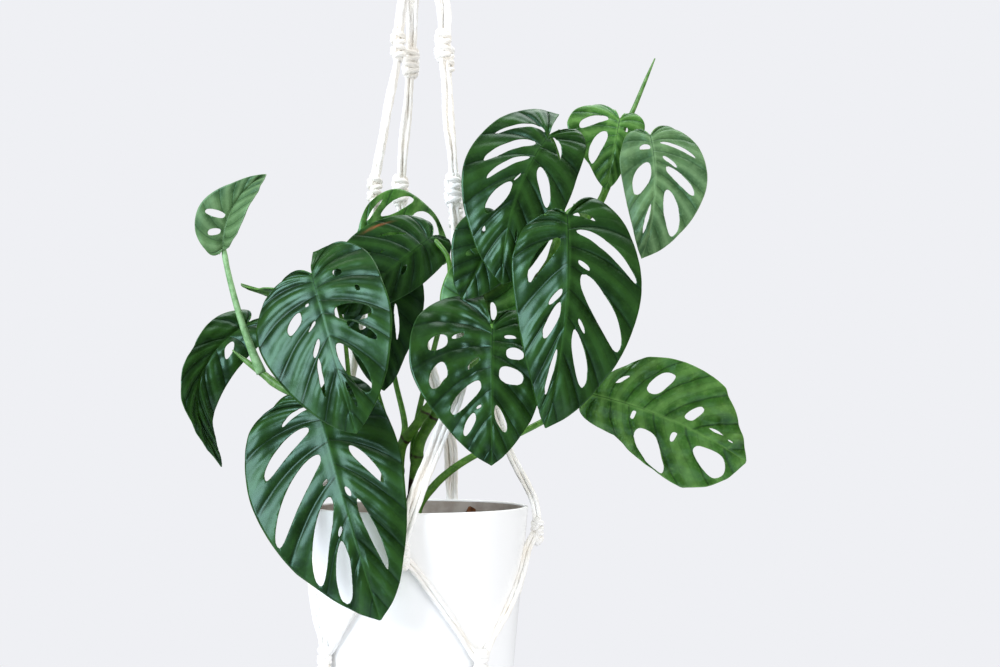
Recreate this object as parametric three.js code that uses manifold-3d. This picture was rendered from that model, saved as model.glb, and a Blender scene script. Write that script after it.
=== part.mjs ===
// Swiss cheese vine (Monstera adansonii) in a plain white pot that hangs in a knotted
// cotton rope hanger. Millimetres, +Z up. The origin is the inside top of the hanging
// ring; every table below counts from the middle of the pot's rim, RIM_DROP under it.
import * as THREE from 'three';
import { mergeVertices } from 'three/addons/utils/BufferGeometryUtils.js';
import Module from 'manifold-3d';

const wasm = await Module();
wasm.setup();

// ---------------------------------------------------------------- main dimensions
const RIM_DROP = 525;        // ring's inside top down to the pot's rim
const GAP = 0.3;             // clearance between neighbouring pieces
const POT = { rim: 85, base: 69.5, height: 165, wall: 3.5, floor: 4, sides: 36 };
const SOIL = { below: 14, bump: 1.5, sides: 24 };
const BLADE = 0.9;           // leaf thickness
const HOLE_MIN = 3.6;        // narrower holes are left to the finish
const ROPE = 2.0;            // half width of one pair of strands
const PAIR = 3.4;            // each pair's distance from the middle of its arm
const CLEAR = 3.1;           // middle of the net's ropes off the pot's wall
const KNOT = { wide: 8, tall: 20 };
const RING = { middle: 21, wire: 3 };

const COLOURS = {
  pot: '#eceae6', soil: '#4a3a2c', stem: '#4b4426', young: '#8fb066', rope: '#ece7de', ring: '#c9a26b',
  leaf: '#2c5a30', pale: '#4d7f44',
};

// Stems: [x, y, z, radius] up from the soil; a part with `joins` is fused to the one before it.
const STEMS = {
  stem_main: [[-4.5, -5, -46, 4.6], [-4.5, -5, -1, 4.6], [0.5, -10, 46.5, 4.3], [11.5, -15, 68, 4.2],
    [28.5, -25, 93.5, 4], [63, -40, 135, 3.7], [100, -45, 184.5, 3.5], [107, -45, 202.5, 3.4],
    [138.5, -20, 232, 3], [152.5, 0, 269.5, 2.6], [160.5, 5, 295.5, 2]],
  stem_second: [[-16, -2, -46, 4.2], [-16, -2, 0.5, 4.2], [-13.5, -8, 44, 4], [-0.5, -22, 63.5, 3.8],
    [8, -28, 76, 3.6], [22, -36, 93.5, 3.2], [34.5, -40, 108.5, 2.6]],
  stem_left: [[-25, -14, -46, 4], [-25, -14, 0.5, 4], [-25.5, -26, 44, 3.8], [-39, -38, 70.5, 3.6],
    [-54, -42, 80.5, 3.4], [-85.5, -42, 85, 3.2], [-103.5, -36, 92, 3.2], [-118.5, -30, 102.5, 2.8]],
};
const BUD = [[-110, -33, 96.5, 2.6], [-118.5, -29, 102.5, 2.9], [-131, -26, 111.5, 2],
[-142, -24, 120, 0.5]];
const SPEAR = [[160.5, 5, 295.5, 1.9], [167, 4, 308, 1.9], [177.5, 1, 333, 1.4], [184.5, -2, 349.5, 0.5]];

// Leaves. base and tip are the ends of the midrib. left and right are each half's outline:
// [how far the lobe reaches back, then four widths from base to tip], 1 being the usual leaf.
// arch lifts the midrib's middle toward the viewer, bow moves it sideways; fold and curl
// (degrees, left and right half) raise the halves. A hole is [side, vein, half width, from, to,
// slant]: vein 0..1 counts along the leaf, from..to runs from midrib 0 to edge 1.
const LEAVES = {
  leaf_01: { base: [-148.5, -30, 198], tip: [-115.5, -34, 254], left: [-0.6, 0.3, 0.85, 1, 0.9],
    right: [0.8, 1.25, 0.98, 0.62, 0.5], bow: 9, fold: [55, 15], curl: [-10, -10],
    stem: 'stem_left', radii: [3.2, 1.5],
    stalk: [[-118.5, -30, 102.5], [-126, -30, 120], [-135.5, -30, 146.5], [-144, -30, 177.5]],
    holes: [[1, 0.438, 0.028, 0.19, 0.8, -0.23], [1, 0.309, 0.03, 0.14, 0.54, -0.22]] },
  leaf_02: { base: [-136.5, 12, 142], tip: [-154.5, 8, 29.5], roll: 30, twist: 60,
    left: [0.3, 0.9, 0.4, 0.36, 0.4],
    right: [0.2, 0.85, 0.6, 0.35, 0.4], arch: 4, bow: -33, fold: [20, 20], curl: [-10, -10],
    stem: 'stem_left', radii: [2.2, 1.5],
    stalk: [[-88, -42, 85], [-92.5, -30, 95.5], [-103.5, 2, 125], [-121, 15, 141]],
    holes: [[1, 0.361, 0.028, 0.2, 0.57, 0.09]] },
  leaf_03: { base: [-76.5, -70, 175], tip: [-39.5, -113, 58.5], roll: -12,
    left: [-0.1, 0.98, 1.1, 1.02, 0.9],
    right: [1.3, 1.12, 0.97, 0.93, 0.8], arch: 8, bow: 3, fold: [-12, -16], curl: [14, 16],
    stem: 'stem_left', radii: [2.6, 1.9],
    stalk: [[-54, -42, 80.5], [-59, -46, 97], [-65.5, -54, 134.5], [-72.5, -62, 162.5]],
    holes: [[1, 0.257, 0.018, 0.32, 0.46, 0], [1, 0.345, 0.012, 0.57, 0.64, 0],
      [1, 0.46, 0.036, 0.19, 0.74, -0.1], [1, 0.525, 0.02, 0.37, 0.82, 0],
      [1, 0.714, 0.06, 0.08, 0.85, 0.05], [1, 0.85, 0.022, 0.15, 0.58, 0.1],
      [-1, 0.422, 0.026, 0.31, 0.58, 0.07], [-1, 0.502, 0.012, 0.16, 0.32, 0.06],
      [-1, 0.6, 0.015, 0.2, 0.43, 0.08], [-1, 0.694, 0.026, 0.36, 0.66, 0.33],
      [-1, 0.384, 0.01, 0.16, 0.22, 0]] },
  leaf_04: { base: [-73, -60, 81], tip: [-22, -110, -74], left: [0, 1, 1, 1, 0.8],
    right: [0.4, 0.75, 0.73, 0.72, 0.72], arch: 10, bow: 0, fold: [-14, -8], curl: [16, 20],
    stem: 'stem_left', radii: [2.6, 2.1], stalk: [[-65, -42, 82.5], [-70, -52, 85]],
    holes: [[-1, 0.196, 0.018, 0.09, 0.49, 0.25], [-1, 0.339, 0.028, 0.17, 0.78, 0.09],
      [-1, 0.482, 0.033, 0.13, 0.97, 0.06], [-1, 0.653, 0.036, 0.17, 0.96, 0.07],
      [-1, 0.784, 0.044, 0.28, 0.95, 0.06], [-1, 0.553, 0.007, 0.14, 0.22, 0],
      [-1, 0.714, 0.007, 0.2, 0.33, 0], [1, 0.458, 0.024, 0.29, 0.73, 0.12],
      [1, 0.616, 0.014, 0.08, 0.19, 0], [1, 0.706, 0.043, 0.26, 0.78, 0.23]] },
  leaf_05: { base: [57.5, -92, 136], tip: [57, -118, 36], left: [2.2, 1.75, 1.5, 1.2, 1],
    right: [1, 0.9, 0.92, 0.92, 0.75], arch: 8, fold: [-12, -14], curl: [14, 14],
    stem: 'stem_second', radii: [2.6, 2], stalk: [[34.5, -40, 108.5], [48, -70, 117.5]],
    holes: [[-1, 0.318, 0.03, 0.54, 0.78, 0], [-1, 0.3, 0.013, 0.34, 0.49, 0.1],
      [-1, 0.448, 0.034, 0.62, 0.88, 0.1], [-1, 0.475, 0.016, 0.18, 0.37, 0.17],
      [-1, 0.609, 0.035, 0.22, 0.84, 0.01], [-1, 0.705, 0.008, 0.29, 0.42, -0.09],
      [-1, 0.728, 0.024, 0.48, 0.87, 0.03], [1, 0.283, 0.012, 0.24, 0.48, 0],
      [1, 0.38, 0.031, 0.27, 0.61, -0.09], [1, 0.51, 0.045, 0.16, 0.66, -0.14],
      [1, 0.758, 0.037, 0.11, 0.68, 0]] },
  leaf_06: { base: [111.5, -100, 215.5], tip: [95, -122, 62.5], left: [-0.8, 0.6, 0.68, 0.54, 0.38],
    right: [0.6, 0.85, 0.88, 0.87, 0.8], arch: 8, bow: 6, fold: [-14, -18], curl: [14, 20],
    stem: 'stem_main', radii: [2.6, 2.1],
    stalk: [[128, -28, 222.5], [124, -52, 224], [117.5, -80, 222]],
    holes: [[-1, 0.36, 0.038, 0.13, 0.75, 0.12], [-1, 0.544, 0.014, 0.12, 0.44, -0.05],
      [-1, 0.61, 0.034, 0.15, 0.62, 0], [-1, 0.8, 0.036, 0.17, 0.69, 0.09],
      [1, 0.161, 0.018, 0.14, 0.46, 0.24], [1, 0.303, 0.022, 0.12, 0.93, 0.11],
      [1, 0.424, 0.011, 0.13, 0.3, 0.04], [1, 0.513, 0.046, 0.18, 0.95, 0.06],
      [1, 0.638, 0.009, 0.25, 0.43, 0.03], [1, 0.72, 0.04, 0.19, 0.82, 0.06]] },
  leaf_07: { base: [99.5, -66, 279], tip: [64.5, -96, 166], left: [1.5, 1.05, 0.98, 0.85, 0.8],
    right: [0.6, 0.75, 0.75, 0.85, 0.9], arch: 8, bow: -9, fold: [-14, -14], curl: [14, 18],
    stem: 'stem_main', radii: [2.5, 1.9],
    stalk: [[105.5, -45, 202], [109.5, -38, 217], [110, -38, 241.5], [106, -48, 266.5]],
    holes: [[-1, 0.195, 0.016, 0.13, 0.81, 0.2], [-1, 0.331, 0.03, 0.1, 0.74, 0.16],
      [-1, 0.436, 0.02, 0.06, 0.65, 0.12], [-1, 0.535, 0.012, 0.08, 0.17, 0.3],
      [-1, 0.603, 0.047, 0.17, 0.68, 0.04], [-1, 0.692, 0.014, 0.72, 0.8, 0],
      [1, 0.23, 0.028, 0.08, 0.5, 0.37], [1, 0.469, 0.037, 0.18, 0.71, 0.11],
      [1, 0.775, 0.012, 0.29, 0.41, 0.25]] },
  leaf_08: { base: [156, -12, 300], tip: [144.5, -22, 243.5], left: [1.2, 1.95, 1.75, 1, 0.8],
    right: [1, 1.2, 0.9, 0.6, 0.6], arch: 5, fold: [-14, -14], curl: [14, 14],
    stem: 'stem_main', radii: [1.9, 1.5], stalk: [[158, 2, 289], [157.5, -3, 295]],
    holes: [[-1, 0.299, 0.045, 0.22, 0.79, 0.17], [-1, 0.529, 0.06, 0.24, 0.94, 0.2],
      [1, 0.33, 0.03, 0.22, 0.4, 0]] },
  leaf_09: { base: [178, -30, 284], tip: [169.5, -50, 188.5], left: [-0.1, 0.6, 0.7, 0.56, 0.42],
    right: [0.5, 1.1, 1.05, 1, 0.95], arch: 6, bow: 6, fold: [-12, -14], curl: [14, 22],
    stem: 'stem_main', radii: [2, 1.6],
    stalk: [[155, 3, 278], [169.5, 7, 277], [184.5, 0, 277.5], [185.5, -16, 280.5]],
    holes: [[-1, 0.289, 0.028, 0.06, 0.38, 0.03],
      [-1, 0.481, 0.066, 0.13, 0.78, 0.01], [-1, 0.762, 0.045, 0.18, 0.64, 0.13],
      [1, 0.269, 0.016, 0.17, 0.82, 0.08], [1, 0.394, 0.017, 0.17, 0.44, 0.12],
      [1, 0.466, 0.03, 0.23, 0.84, 0.03], [1, 0.668, 0.066, 0.27, 0.94, 0.1]] },
  leaf_10: { base: [133.5, 10, 86.5], tip: [259, 30, 32.5], left: [-0.3, 0.45, 0.5, 1.12, 1.25],
    right: [-0.3, 0.15, 0.76, 1.06, 0.82], arch: 6, bow: 6.5, fold: [-8, -8], curl: [14, 14],
    stem: 'soil', radii: [3.4, 1.8],
    stalk: [[-1, -16.5, -46], [0, -16.5, -3], [13.5, -16.5, 16.8], [28, -16, 29.5],
      [42.5, -15, 38.5], [67, -12, 50.5], [98, -4, 66], [119.5, 5, 79.5]],
    holes: [[1, 0.463, 0.033, 0.3, 0.74, -0.09], [1, 0.309, 0.016, 0.34, 0.52, 0.13],
      [1, 0.687, 0.02, 0.19, 0.59, -0.08], [1, 0.809, 0.015, 0.33, 0.52, 0.2],
      [1, 0.873, 0.009, 0.48, 0.57, 0.1], [-1, 0.461, 0.012, 0.07, 0.24, -0.15],
      [-1, 0.498, 0.06, 0.32, 0.97, -0.07], [-1, 0.661, 0.012, 0.19, 0.38, -0.17],
      [-1, 0.813, 0.068, 0.3, 0.93, 0]] },
  leaf_11: { base: [-36, -12, 188.5], tip: [23.5, 20, 194.5], left: [0.5, 0.6, 0.6, 0.6, 0.6],
    right: [1, 1.9, 2.05, 2.2, 2.5], arch: 5, fold: [-40, 10], curl: [-10, -10],
    stem: 'stem_second', radii: [1.9, 1.4],
    stalk: [[-14.5, -7, 37], [-23, 6, 57], [-35, 8, 97.5], [-39, 6, 136.5], [-38, 0, 167.5]],
    holes: [[1, 0.427, 0.05, 0.62, 0.96, 0.4], [1, 0.265, 0.022, 0.68, 0.88, 0.4],
      [1, 0.26, 0.02, 0.5, 0.57, 0], [1, 0.7, 0.13, 0.5, 0.93, 0]] },
  leaf_12: { base: [11, -30, 207], tip: [-57, -52, 147], left: [0.2, 0.7, 0.95, 1.3, 1.3],
    right: [0.6, 0.7, 0.65, 0.65, 0.8], arch: 8, fold: [-14, -16], curl: [12, 16],
    stem: 'stem_main', radii: [2.3, 1.7],
    stalk: [[-2.5, -8, 29.5], [-4.5, -1, 39], [-2.5, 0, 60], [5, -6, 93.5], [17, -20, 139.5],
      [24, -30, 166], [23.5, -34, 190]],
    holes: [[-1, 0.39, 0.018, 0.37, 0.66, 0.28], [1, 0.525, 0.02, 0.2, 0.44, 0],
      [-1, 0.55, 0.01, 0.38, 0.42, 0], [-1, 0.58, 0.01, 0.56, 0.6, 0]] },
  leaf_13: { base: [-25.5, -22, 178], tip: [-25.5, -28, 89], left: [1, 0.9, 0.9, 0.9, 0.9],
    right: [0.5, 1, 0.88, 0.62, 0.6], arch: 2, fold: [-5, -5], curl: [-6, -6],
    stem: 'stem_second', radii: [2.2, 1.6],
    stalk: [[-13, -9, 47], [-11, 0, 62.5], [-19, 6, 97.5], [-25, 6, 132.5], [-26.5, -4, 161]],
    holes: [[1, 0.515, 0.04, 0.3, 0.62, 0.45], [-1, 0.5, 0.04, 0.3, 0.7, 0],
      [-1, 0.7, 0.03, 0.3, 0.7, 0]] },
  leaf_14: { base: [63, -68, 209.5], tip: [35, -80, 156], left: [1.3, 1.2, 1.2, 1, 1],
    right: [1, 1, 1, 1, 1], arch: 3, fold: [4, 4], curl: [-10, -10],
    stem: 'stem_main', radii: [2.2, 1.7],
    stalk: [[78, -42, 155], [73.5, -46, 172.5], [67.5, -56, 194]],
    holes: [[-1, 0.31, 0.03, 0.3, 0.4, 0], [1, 0.45, 0.03, 0.3, 0.7, 0],
      [-1, 0.55, 0.03, 0.25, 0.65, 0]] },
  leaf_15: { base: [53.5, -72, 139.5], tip: [48, -54, 203.5], left: [0.6, 1.3, 1.2, 1, 1],
    right: [0.6, 1.3, 1.3, 1.1, 1], arch: 4, fold: [5, 5], curl: [-10, -10],
    stem: 'stem_main', radii: [2.2, 1.8], stalk: [[63, -40, 135], [59.5, -52, 135], [55, -64, 137]],
    holes: [[-1, 0.3, 0.1, 0.1, 0.25, 0]] },
  leaf_16: { base: [-66.5, -30, 169], tip: [-137, -16, 170.5], roll: 82,
    left: [1, 0.8, 0.8, 0.8, 0.8],
    right: [1, 0.8, 0.8, 0.8, 0.8], arch: 5, fold: [10, 10], curl: [-15, -15],
    stem: 'stem_left', radii: [1.8, 1.3],
    stalk: [[-48.5, -41, 77.5], [-50.5, -42, 95.5], [-55, -42, 135], [-61, -37, 158]],
    holes: [] },
};
const PALE = ['leaf_01', 'leaf_09', 'leaf_10', 'leaf_11', 'leaf_15'];

// Hanger: the four arms from the ring down to their rim knots, and how many points carry a knot.
const ARMS = [
  [[-13.5, 6, 397.5], [-17.5, 8, 362, 1], [-36, 12, 247.5, 1], [-53, 17, 113.5], [-71.5, 20, 26.5],
    [-86.5, 23, 5], [-90, 24, -22, 1]],
  [[-7.5, 22, 401.5], [-8.5, 26, 352, 1], [-18, 46, 251.5, 1], [-2.5, 62, 139], [21, 78, 48],
    [22.5, 87, 5], [23, 90, -22, 1]],
  [[16.5, -22, 391], [19, -27, 354.5, 1], [27.5, -46, 240.5, 1], [35, -62, 134], [32, -69, 89.5],
    [21, -77, 61.5], [-1, -89.5, 4], [-8, -92, -30, 1]],
  [[20, 0, 396], [21.5, 0, 348.5, 1], [28.5, 0, 226.5, 1], [47.5, 0, 121], [69, 0, 45.5],
    [89, 0, 5], [92, 0, -20, 1]],
];
const LOW_KNOTS = [-53, 37, 120, -147];     // degrees round the pot, between the arms
const LOW_Z = -112;
const GATHER = { top: 458, under: -215, tassel: 72 };

// ---------------------------------------------------------------- leaf shape
// Where the veins meet the edge of the usual leaf of length 1: vein, along, across.
const EDGE_Q = [0, 0.1, 0.2, 0.35, 0.5, 0.7, 0.85, 1];
const EDGE_ALONG = [-0.113, -0.132, 0.004, 0.307, 0.575, 0.815, 0.929, 1];
const EDGE_ACROSS = [0.041, 0.199, 0.335, 0.397, 0.346, 0.222, 0.122, 0.006];
const WIDTH_Q = [0, 0.1, 0.3, 0.6, 0.85, 1];

const rad = (deg) => (deg * Math.PI) / 180;

function linear(x, xs, ys) {
  let i = 0;
  while (i < xs.length - 2 && x > xs[i + 1]) i += 1;
  return ys[i] + ((ys[i + 1] - ys[i]) * (x - xs[i])) / (xs[i + 1] - xs[i]);
}

function smooth(x, xs, ys) {              // cubic through the points, tangents from neighbours
  const slope = (k) => {
    const a = Math.max(k - 1, 0);
    const b = Math.min(k + 1, xs.length - 1);
    return (ys[b] - ys[a]) / (xs[b] - xs[a]);
  };
  let i = 0;
  while (i < xs.length - 2 && x > xs[i + 1]) i += 1;
  const h = xs[i + 1] - xs[i];
  const t = (x - xs[i]) / h;
  return ys[i] * (2 * t ** 3 - 3 * t ** 2 + 1) + h * slope(i) * (t ** 3 - 2 * t ** 2 + t)
    + ys[i + 1] * (3 * t ** 2 - 2 * t ** 3) + h * slope(i + 1) * (t ** 3 - t ** 2);
}

// Where vein q meets the edge of one half: along and across.
function edge([lobe, w1, w2, w3, w4], q) {
  return [smooth(q, EDGE_Q, EDGE_ALONG) - (lobe - 1) * 0.13 * Math.max(0, 1 - q / 0.4) ** 1.5,
    smooth(q, EDGE_Q, EDGE_ACROSS) * linear(q, WIDTH_Q, [w1, w1, w2, w3, w4, w4])];
}

// Flat leaf: along and across for vein q and s from -1 (left edge) to +1 (right edge).
function flat(leaf, q, s) {
  const half = s < 0 ? leaf.left : leaf.right;
  const a = Math.abs(s);
  const start = q ** 1.8;
  let [edgeU, edgeV] = edge(half, q);
  if (q < 0.1) {                          // the first veins stay behind the next, also on a small lobe
    const [u1, v1] = edge(half, 0.1);
    edgeU = Math.min(edgeU, start + edgeV * ((u1 - 0.1 ** 1.8) / v1 - 0.8 * (1 - q / 0.1)));
  }
  return [start + a * (edgeU - start) - 0.5 * edgeV * a * (1 - a), a * edgeV];
}

// The bent leaf: a point at (q, s), lifted off the middle surface by `lift` mm.
function place(leaf, q, s, lift = 0) {
  const base = new THREE.Vector3(...leaf.base);
  const along = new THREE.Vector3(...leaf.tip).sub(base);
  const length = along.length();
  along.normalize();
  const up = new THREE.Vector3(0, -1, 0);
  up.addScaledVector(along, -up.dot(along)).normalize();
  const side = new THREE.Vector3().crossVectors(up, along);
  const [u, v] = flat(leaf, q, s);
  const turn = rad((leaf.roll ?? 0) + (leaf.twist ?? 0) * (u - 0.5));
  const turn0 = rad(leaf.roll ?? 0);
  const n0 = up.clone().multiplyScalar(Math.cos(turn0)).addScaledVector(side, Math.sin(turn0));
  const b0 = side.clone().multiplyScalar(Math.cos(turn0)).addScaledVector(up, -Math.sin(turn0));
  const n = up.clone().multiplyScalar(Math.cos(turn)).addScaledVector(side, Math.sin(turn));
  const b = side.clone().multiplyScalar(Math.cos(turn)).addScaledVector(up, -Math.sin(turn));
  const which = s < 0 ? 0 : 1;
  const sign = s < 0 ? -1 : 1;
  const fold = rad(leaf.fold[which]);
  const curl = rad(leaf.curl[which]) || 1e-4;
  const reach = 0.4 * length;
  const angle = fold + (curl * v * length) / reach;
  const across = (reach / curl) * (Math.sin(angle) - Math.sin(fold));
  const rise = (reach / curl) * (Math.cos(fold) - Math.cos(angle));
  const hump = 4 * u * (1 - u);
  const tilt = angle * Math.min(1, (v * length) / 2.5);       // upright at the midrib and the tip
  return base.addScaledVector(along, u * length)
    .addScaledVector(n0, (leaf.arch ?? 0) * hump)
    .addScaledVector(b0, (leaf.bow ?? 0) * hump)
    .addScaledVector(b, sign * (across - lift * Math.sin(tilt)))
    .addScaledVector(n, rise + lift * Math.cos(tilt));
}

// ---------------------------------------------------------------- solids
function solid(points, faces) {
  const geometry = new THREE.BufferGeometry();
  const flatList = points.flatMap((p) => p.toArray());
  geometry.setAttribute('position', new THREE.Float32BufferAttribute(flatList, 3));
  geometry.setIndex(faces.flat());
  return closed(geometry);
}

function closed(geometry) {               // merged, one closed body facing outward
  geometry.deleteAttribute('normal');
  geometry.deleteAttribute('uv');
  const merged = mergeVertices(geometry, 1e-4);
  const index = merged.index.array;
  const keep = [];
  for (let i = 0; i < index.length; i += 3) {
    const [a, b, c] = [index[i], index[i + 1], index[i + 2]];
    if (a !== b && b !== c && c !== a) keep.push(a, b, c);
  }
  return new wasm.Manifold(new wasm.Mesh({
    numProp: 3, vertProperties: merged.attributes.position.array, triVerts: new Uint32Array(keep),
  }));
}

// A round bar through [x, y, z, radius] points, `steps` rings between two of them.
function bar(points, sides = 6, steps = 2, flare = 0) {
  const curve = new THREE.CatmullRomCurve3(points.map((p) => new THREE.Vector3(...p)), false,
    'centripetal');
  const count = (points.length - 1) * steps;
  const rings = [];
  let normal = null;
  for (let i = 0; i <= count; i += 1) {
    const centre = curve.getPoint(i / count);
    const ahead = curve.getTangent(i / count);
    if (i === 0) centre.addScaledVector(ahead, -flare);
    if (i === count) centre.addScaledVector(ahead, flare);
    if (!normal) {
      normal = new THREE.Vector3(1, 0, 0);
      if (Math.abs(ahead.x) > 0.8) normal.set(0, 1, 0);
    }
    normal.addScaledVector(ahead, -normal.dot(ahead)).normalize();
    const other = new THREE.Vector3().crossVectors(ahead, normal);
    const k = Math.min(Math.floor(i / steps), points.length - 2);
    const r = points[k][3] + (points[k + 1][3] - points[k][3]) * (i / steps - k) + flare;
    rings.push(Array.from({ length: sides }, (_, j) => {
      const a = (j / sides) * 2 * Math.PI;
      return centre.clone().addScaledVector(normal, r * Math.cos(a))
        .addScaledVector(other, r * Math.sin(a));
    }));
  }
  return skin(rings);
}

function skin(rings) {                    // closes a stack of equal rings, flat at both ends
  const n = rings[0].length;
  const faces = [];
  for (let i = 0; i < rings.length - 1; i += 1) {
    for (let j = 0; j < n; j += 1) {
      const a = i * n + j;
      const b = i * n + ((j + 1) % n);
      faces.push([a, b, b + n], [a, b + n, a + n]);
    }
  }
  const last = (rings.length - 1) * n;
  for (let j = 1; j < n - 1; j += 1) faces.push([0, j + 1, j], [last, last + j, last + j + 1]);
  return solid(rings.flat(), faces);
}

function turned(profile, sides) {         // [radius, z] from the axis out and back to it
  return closed(new THREE.LatheGeometry(profile.map(([r, z]) => new THREE.Vector2(r, z)), sides)
    .applyMatrix4(new THREE.Matrix4().makeRotationX(Math.PI / 2)));
}

// ---------------------------------------------------------------- leaves
const ROWS = [0, 0.08, 0.17, 0.29, 0.43, 0.6, 0.79, 0.92, 1];
const COLUMNS = [-1, -0.5, -0.07, 0, 0.07, 0.5, 1];

function blade(leaf) {
  const rib = (q, s) => (s ? 0 : leaf.radii[1] * 1.4 * (1 - q));       // the midrib, out underneath
  const sheet = (lift, under = 0) => ROWS.flatMap((q) => COLUMNS.map((s) => (
    place(leaf, q, s, lift - under * rib(q, s)))));
  const points = [...sheet(BLADE / 2), ...sheet(-BLADE / 2, 1)];
  const n = COLUMNS.length;
  const back = ROWS.length * n;
  const faces = [];
  for (let i = 0; i < ROWS.length - 1; i += 1) {
    for (let j = 0; j < n - 1; j += 1) {
      const a = i * n + j;
      faces.push([a, a + n, a + n + 1], [a, a + n + 1, a + 1]);
      faces.push([back + a, back + a + n + 1, back + a + n], [back + a, back + a + 1, back + a + n + 1]);
    }
  }
  const last = (ROWS.length - 1) * n;
  const rim = [
    ...Array.from({ length: ROWS.length }, (_, i) => i * n),
    ...Array.from({ length: n - 1 }, (_, j) => last + j + 1),
    ...Array.from({ length: ROWS.length - 1 }, (_, i) => last - (i + 1) * n + n - 1),
    ...Array.from({ length: n - 2 }, (_, j) => n - 2 - j),
  ];
  rim.forEach((a, i) => {
    const b = rim[(i + 1) % rim.length];
    faces.push([a, back + a, back + b], [a, back + b, b]);
  });
  return solid(points, faces);
}

function plug(leaf, [side, q, half, from, to, slant]) {   // what a hole takes out of the blade
  const middle = (from + to) / 2;
  const long = (to - from) / 2;
  const n = long > 0.28 ? 8 : 6;
  const ring = (lift) => Array.from({ length: n }, (_, k) => {
    const a = (k / n) * 2 * Math.PI;
    const s = middle + long * Math.cos(a);
    return place(leaf, q + half * 1.1 * Math.sin(a) + slant * (s - middle), side * s, lift);
  });
  const [top, bottom] = [ring(3), ring(-3)];
  const width = top[Math.floor(n / 4)].distanceTo(top[n - Math.floor(n / 4)]);
  return width < HOLE_MIN ? null : { top, bottom, side };
}

function drill(p) {
  const centre = (ring) => ring.reduce((sum, v) => sum.add(v), new THREE.Vector3())
    .divideScalar(ring.length);
  const n = p.top.length;
  const points = [...p.top, ...p.bottom, centre(p.top), centre(p.bottom)];
  const faces = [];
  for (let k = 0; k < n; k += 1) {
    const m = (k + 1) % n;
    faces.push([k, n + k, n + m], [k, n + m, m], [2 * n, k, m], [2 * n + 1, n + m, n + k]);
  }
  return solid(points, faces.map((f) => (p.side > 0 ? [f[0], f[2], f[1]] : f)));
}

function leafSolid(leaf) {
  const holes = leaf.holes.map((h) => plug(leaf, h)).filter(Boolean).map(drill);
  const [wide, thin] = leaf.radii;
  const end = place(leaf, 0, 0, -0.6).toArray();
  const stalk = [...leaf.stalk, end].map((p, i) => [...p, wide + (thin - wide) * (i / leaf.stalk.length)]);
  const body = holes.length ? blade(leaf).subtract(wasm.Manifold.union(holes)) : blade(leaf);
  return body.add(bar(stalk, 6, 1));
}

// ---------------------------------------------------------------- hanger
function knot([x, y, z], scale = 1) {
  const h = (KNOT.tall / 2) * scale;
  const w = KNOT.wide * scale;
  return bar([[x, y, z - h, w * 0.62], [x, y, z - h * 0.5, w], [x, y, z + h * 0.5, w],
    [x, y, z + h, w * 0.62]], 6, 1);
}

function strands(points) {                // the two pairs of an arm, side by side around the pot
  return [-1, 1].map((k) => bar(points.map(([x, y, z, spread = 1]) => {
    const away = Math.hypot(x, y) || 1;
    return [x - (k * spread * PAIR * y) / away, y + (k * spread * PAIR * x) / away, z, ROPE];
  }), 5, 1));
}

const potRadius = (z) => POT.rim + (POT.rim - POT.base) * (z / POT.height);

function onPot(degrees, z, off) {
  const r = potRadius(z) + off;
  return [r * Math.cos(rad(degrees)), r * Math.sin(rad(degrees)), z];
}

function hanger() {
  const made = [];
  const drop = KNOT.tall * 0.4;
  ARMS.forEach((arm) => {
    const top = [0, 0, GATHER.top, 0.2];
    let run = [top];
    arm.forEach(([x, y, z, tied]) => {
      if (!tied) { run.push([x, y, z]); return; }
      run.push([x, y, z + drop, 0.4]);
      made.push(...strands(run), knot([x, y, z]));
      run = [[x, y, z - drop, 0.4]];
    });
  });
  const rimKnots = ARMS.map((arm) => arm[arm.length - 1]);
  const degreesOf = ([x, y]) => (Math.atan2(y, x) * 180) / Math.PI;
  rimKnots.forEach((end) => {
    const from = degreesOf(end);
    const turn = (d) => ((d - from + 540) % 360) - 180;
    const near = [...LOW_KNOTS].sort((a, b) => Math.abs(turn(a)) - Math.abs(turn(b))).slice(0, 2);
    near.forEach((low) => {
      const path = [0, 0.14, 0.3, 0.5, 0.7, 0.86, 1].map((t) => {
        const off = t < 0.1 || t > 0.9 ? CLEAR + 5 : CLEAR;
        return [...onPot(from + turn(low) * t, end[2] + (LOW_Z - end[2]) * t, off), ROPE + 0.3];
      });
      made.push(bar(path, 5, 1));
    });
  });
  LOW_KNOTS.forEach((low) => {
    made.push(knot(onPot(low, LOW_Z, KNOT.wide + 0.9)));
    const round = (r, z) => [r * Math.cos(rad(low)), r * Math.sin(rad(low)), z];
    const path = [onPot(low, LOW_Z - 6, 7), onPot(low, -132, CLEAR + 1), onPot(low, -160, CLEAR + 1.6),
      round(72.8, -168), round(66, -175), round(34, -197), round(3, GATHER.under)];
    made.push(bar(path.map((p) => [...p, ROPE + 1]), 6, 1));
  });
  const wrap = (z, h, w) => bar([[0, 0, z - h, w], [0, 0, z + h, w]], 10, 1);
  made.push(wrap(GATHER.top, 14, 7.5), wrap(GATHER.under, 12, 9));
  const end = GATHER.under - 10 - GATHER.tassel;
  made.push(bar([[0, 0, GATHER.under - 8, 7], [0, 0, GATHER.under - 30, 10], [0, 0, end + 20, 13],
    [0, 0, end, 14]], 12, 1));
  const seat = RIM_DROP - 2 * (RING.middle - RING.wire);        // the ring's inside bottom
  const eye = 3;                                               // half width of the rope through it
  const out = eye + RING.wire + GAP + 0.4;
  made.push(bar([[0, -3, GATHER.top + 10, eye], [0, -out, seat - 6, eye], [0, -out * 0.75, seat + 1.5, eye],
    [0, 0, seat + eye + GAP + 0.4, eye], [0, out * 0.75, seat + 1.5, eye], [0, out, seat - 6, eye],
    [0, 3, GATHER.top + 10, eye]], 6, 2));
  return wasm.Manifold.union(made);
}

// ---------------------------------------------------------------- everything in its place
const group = new THREE.Group();

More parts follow.
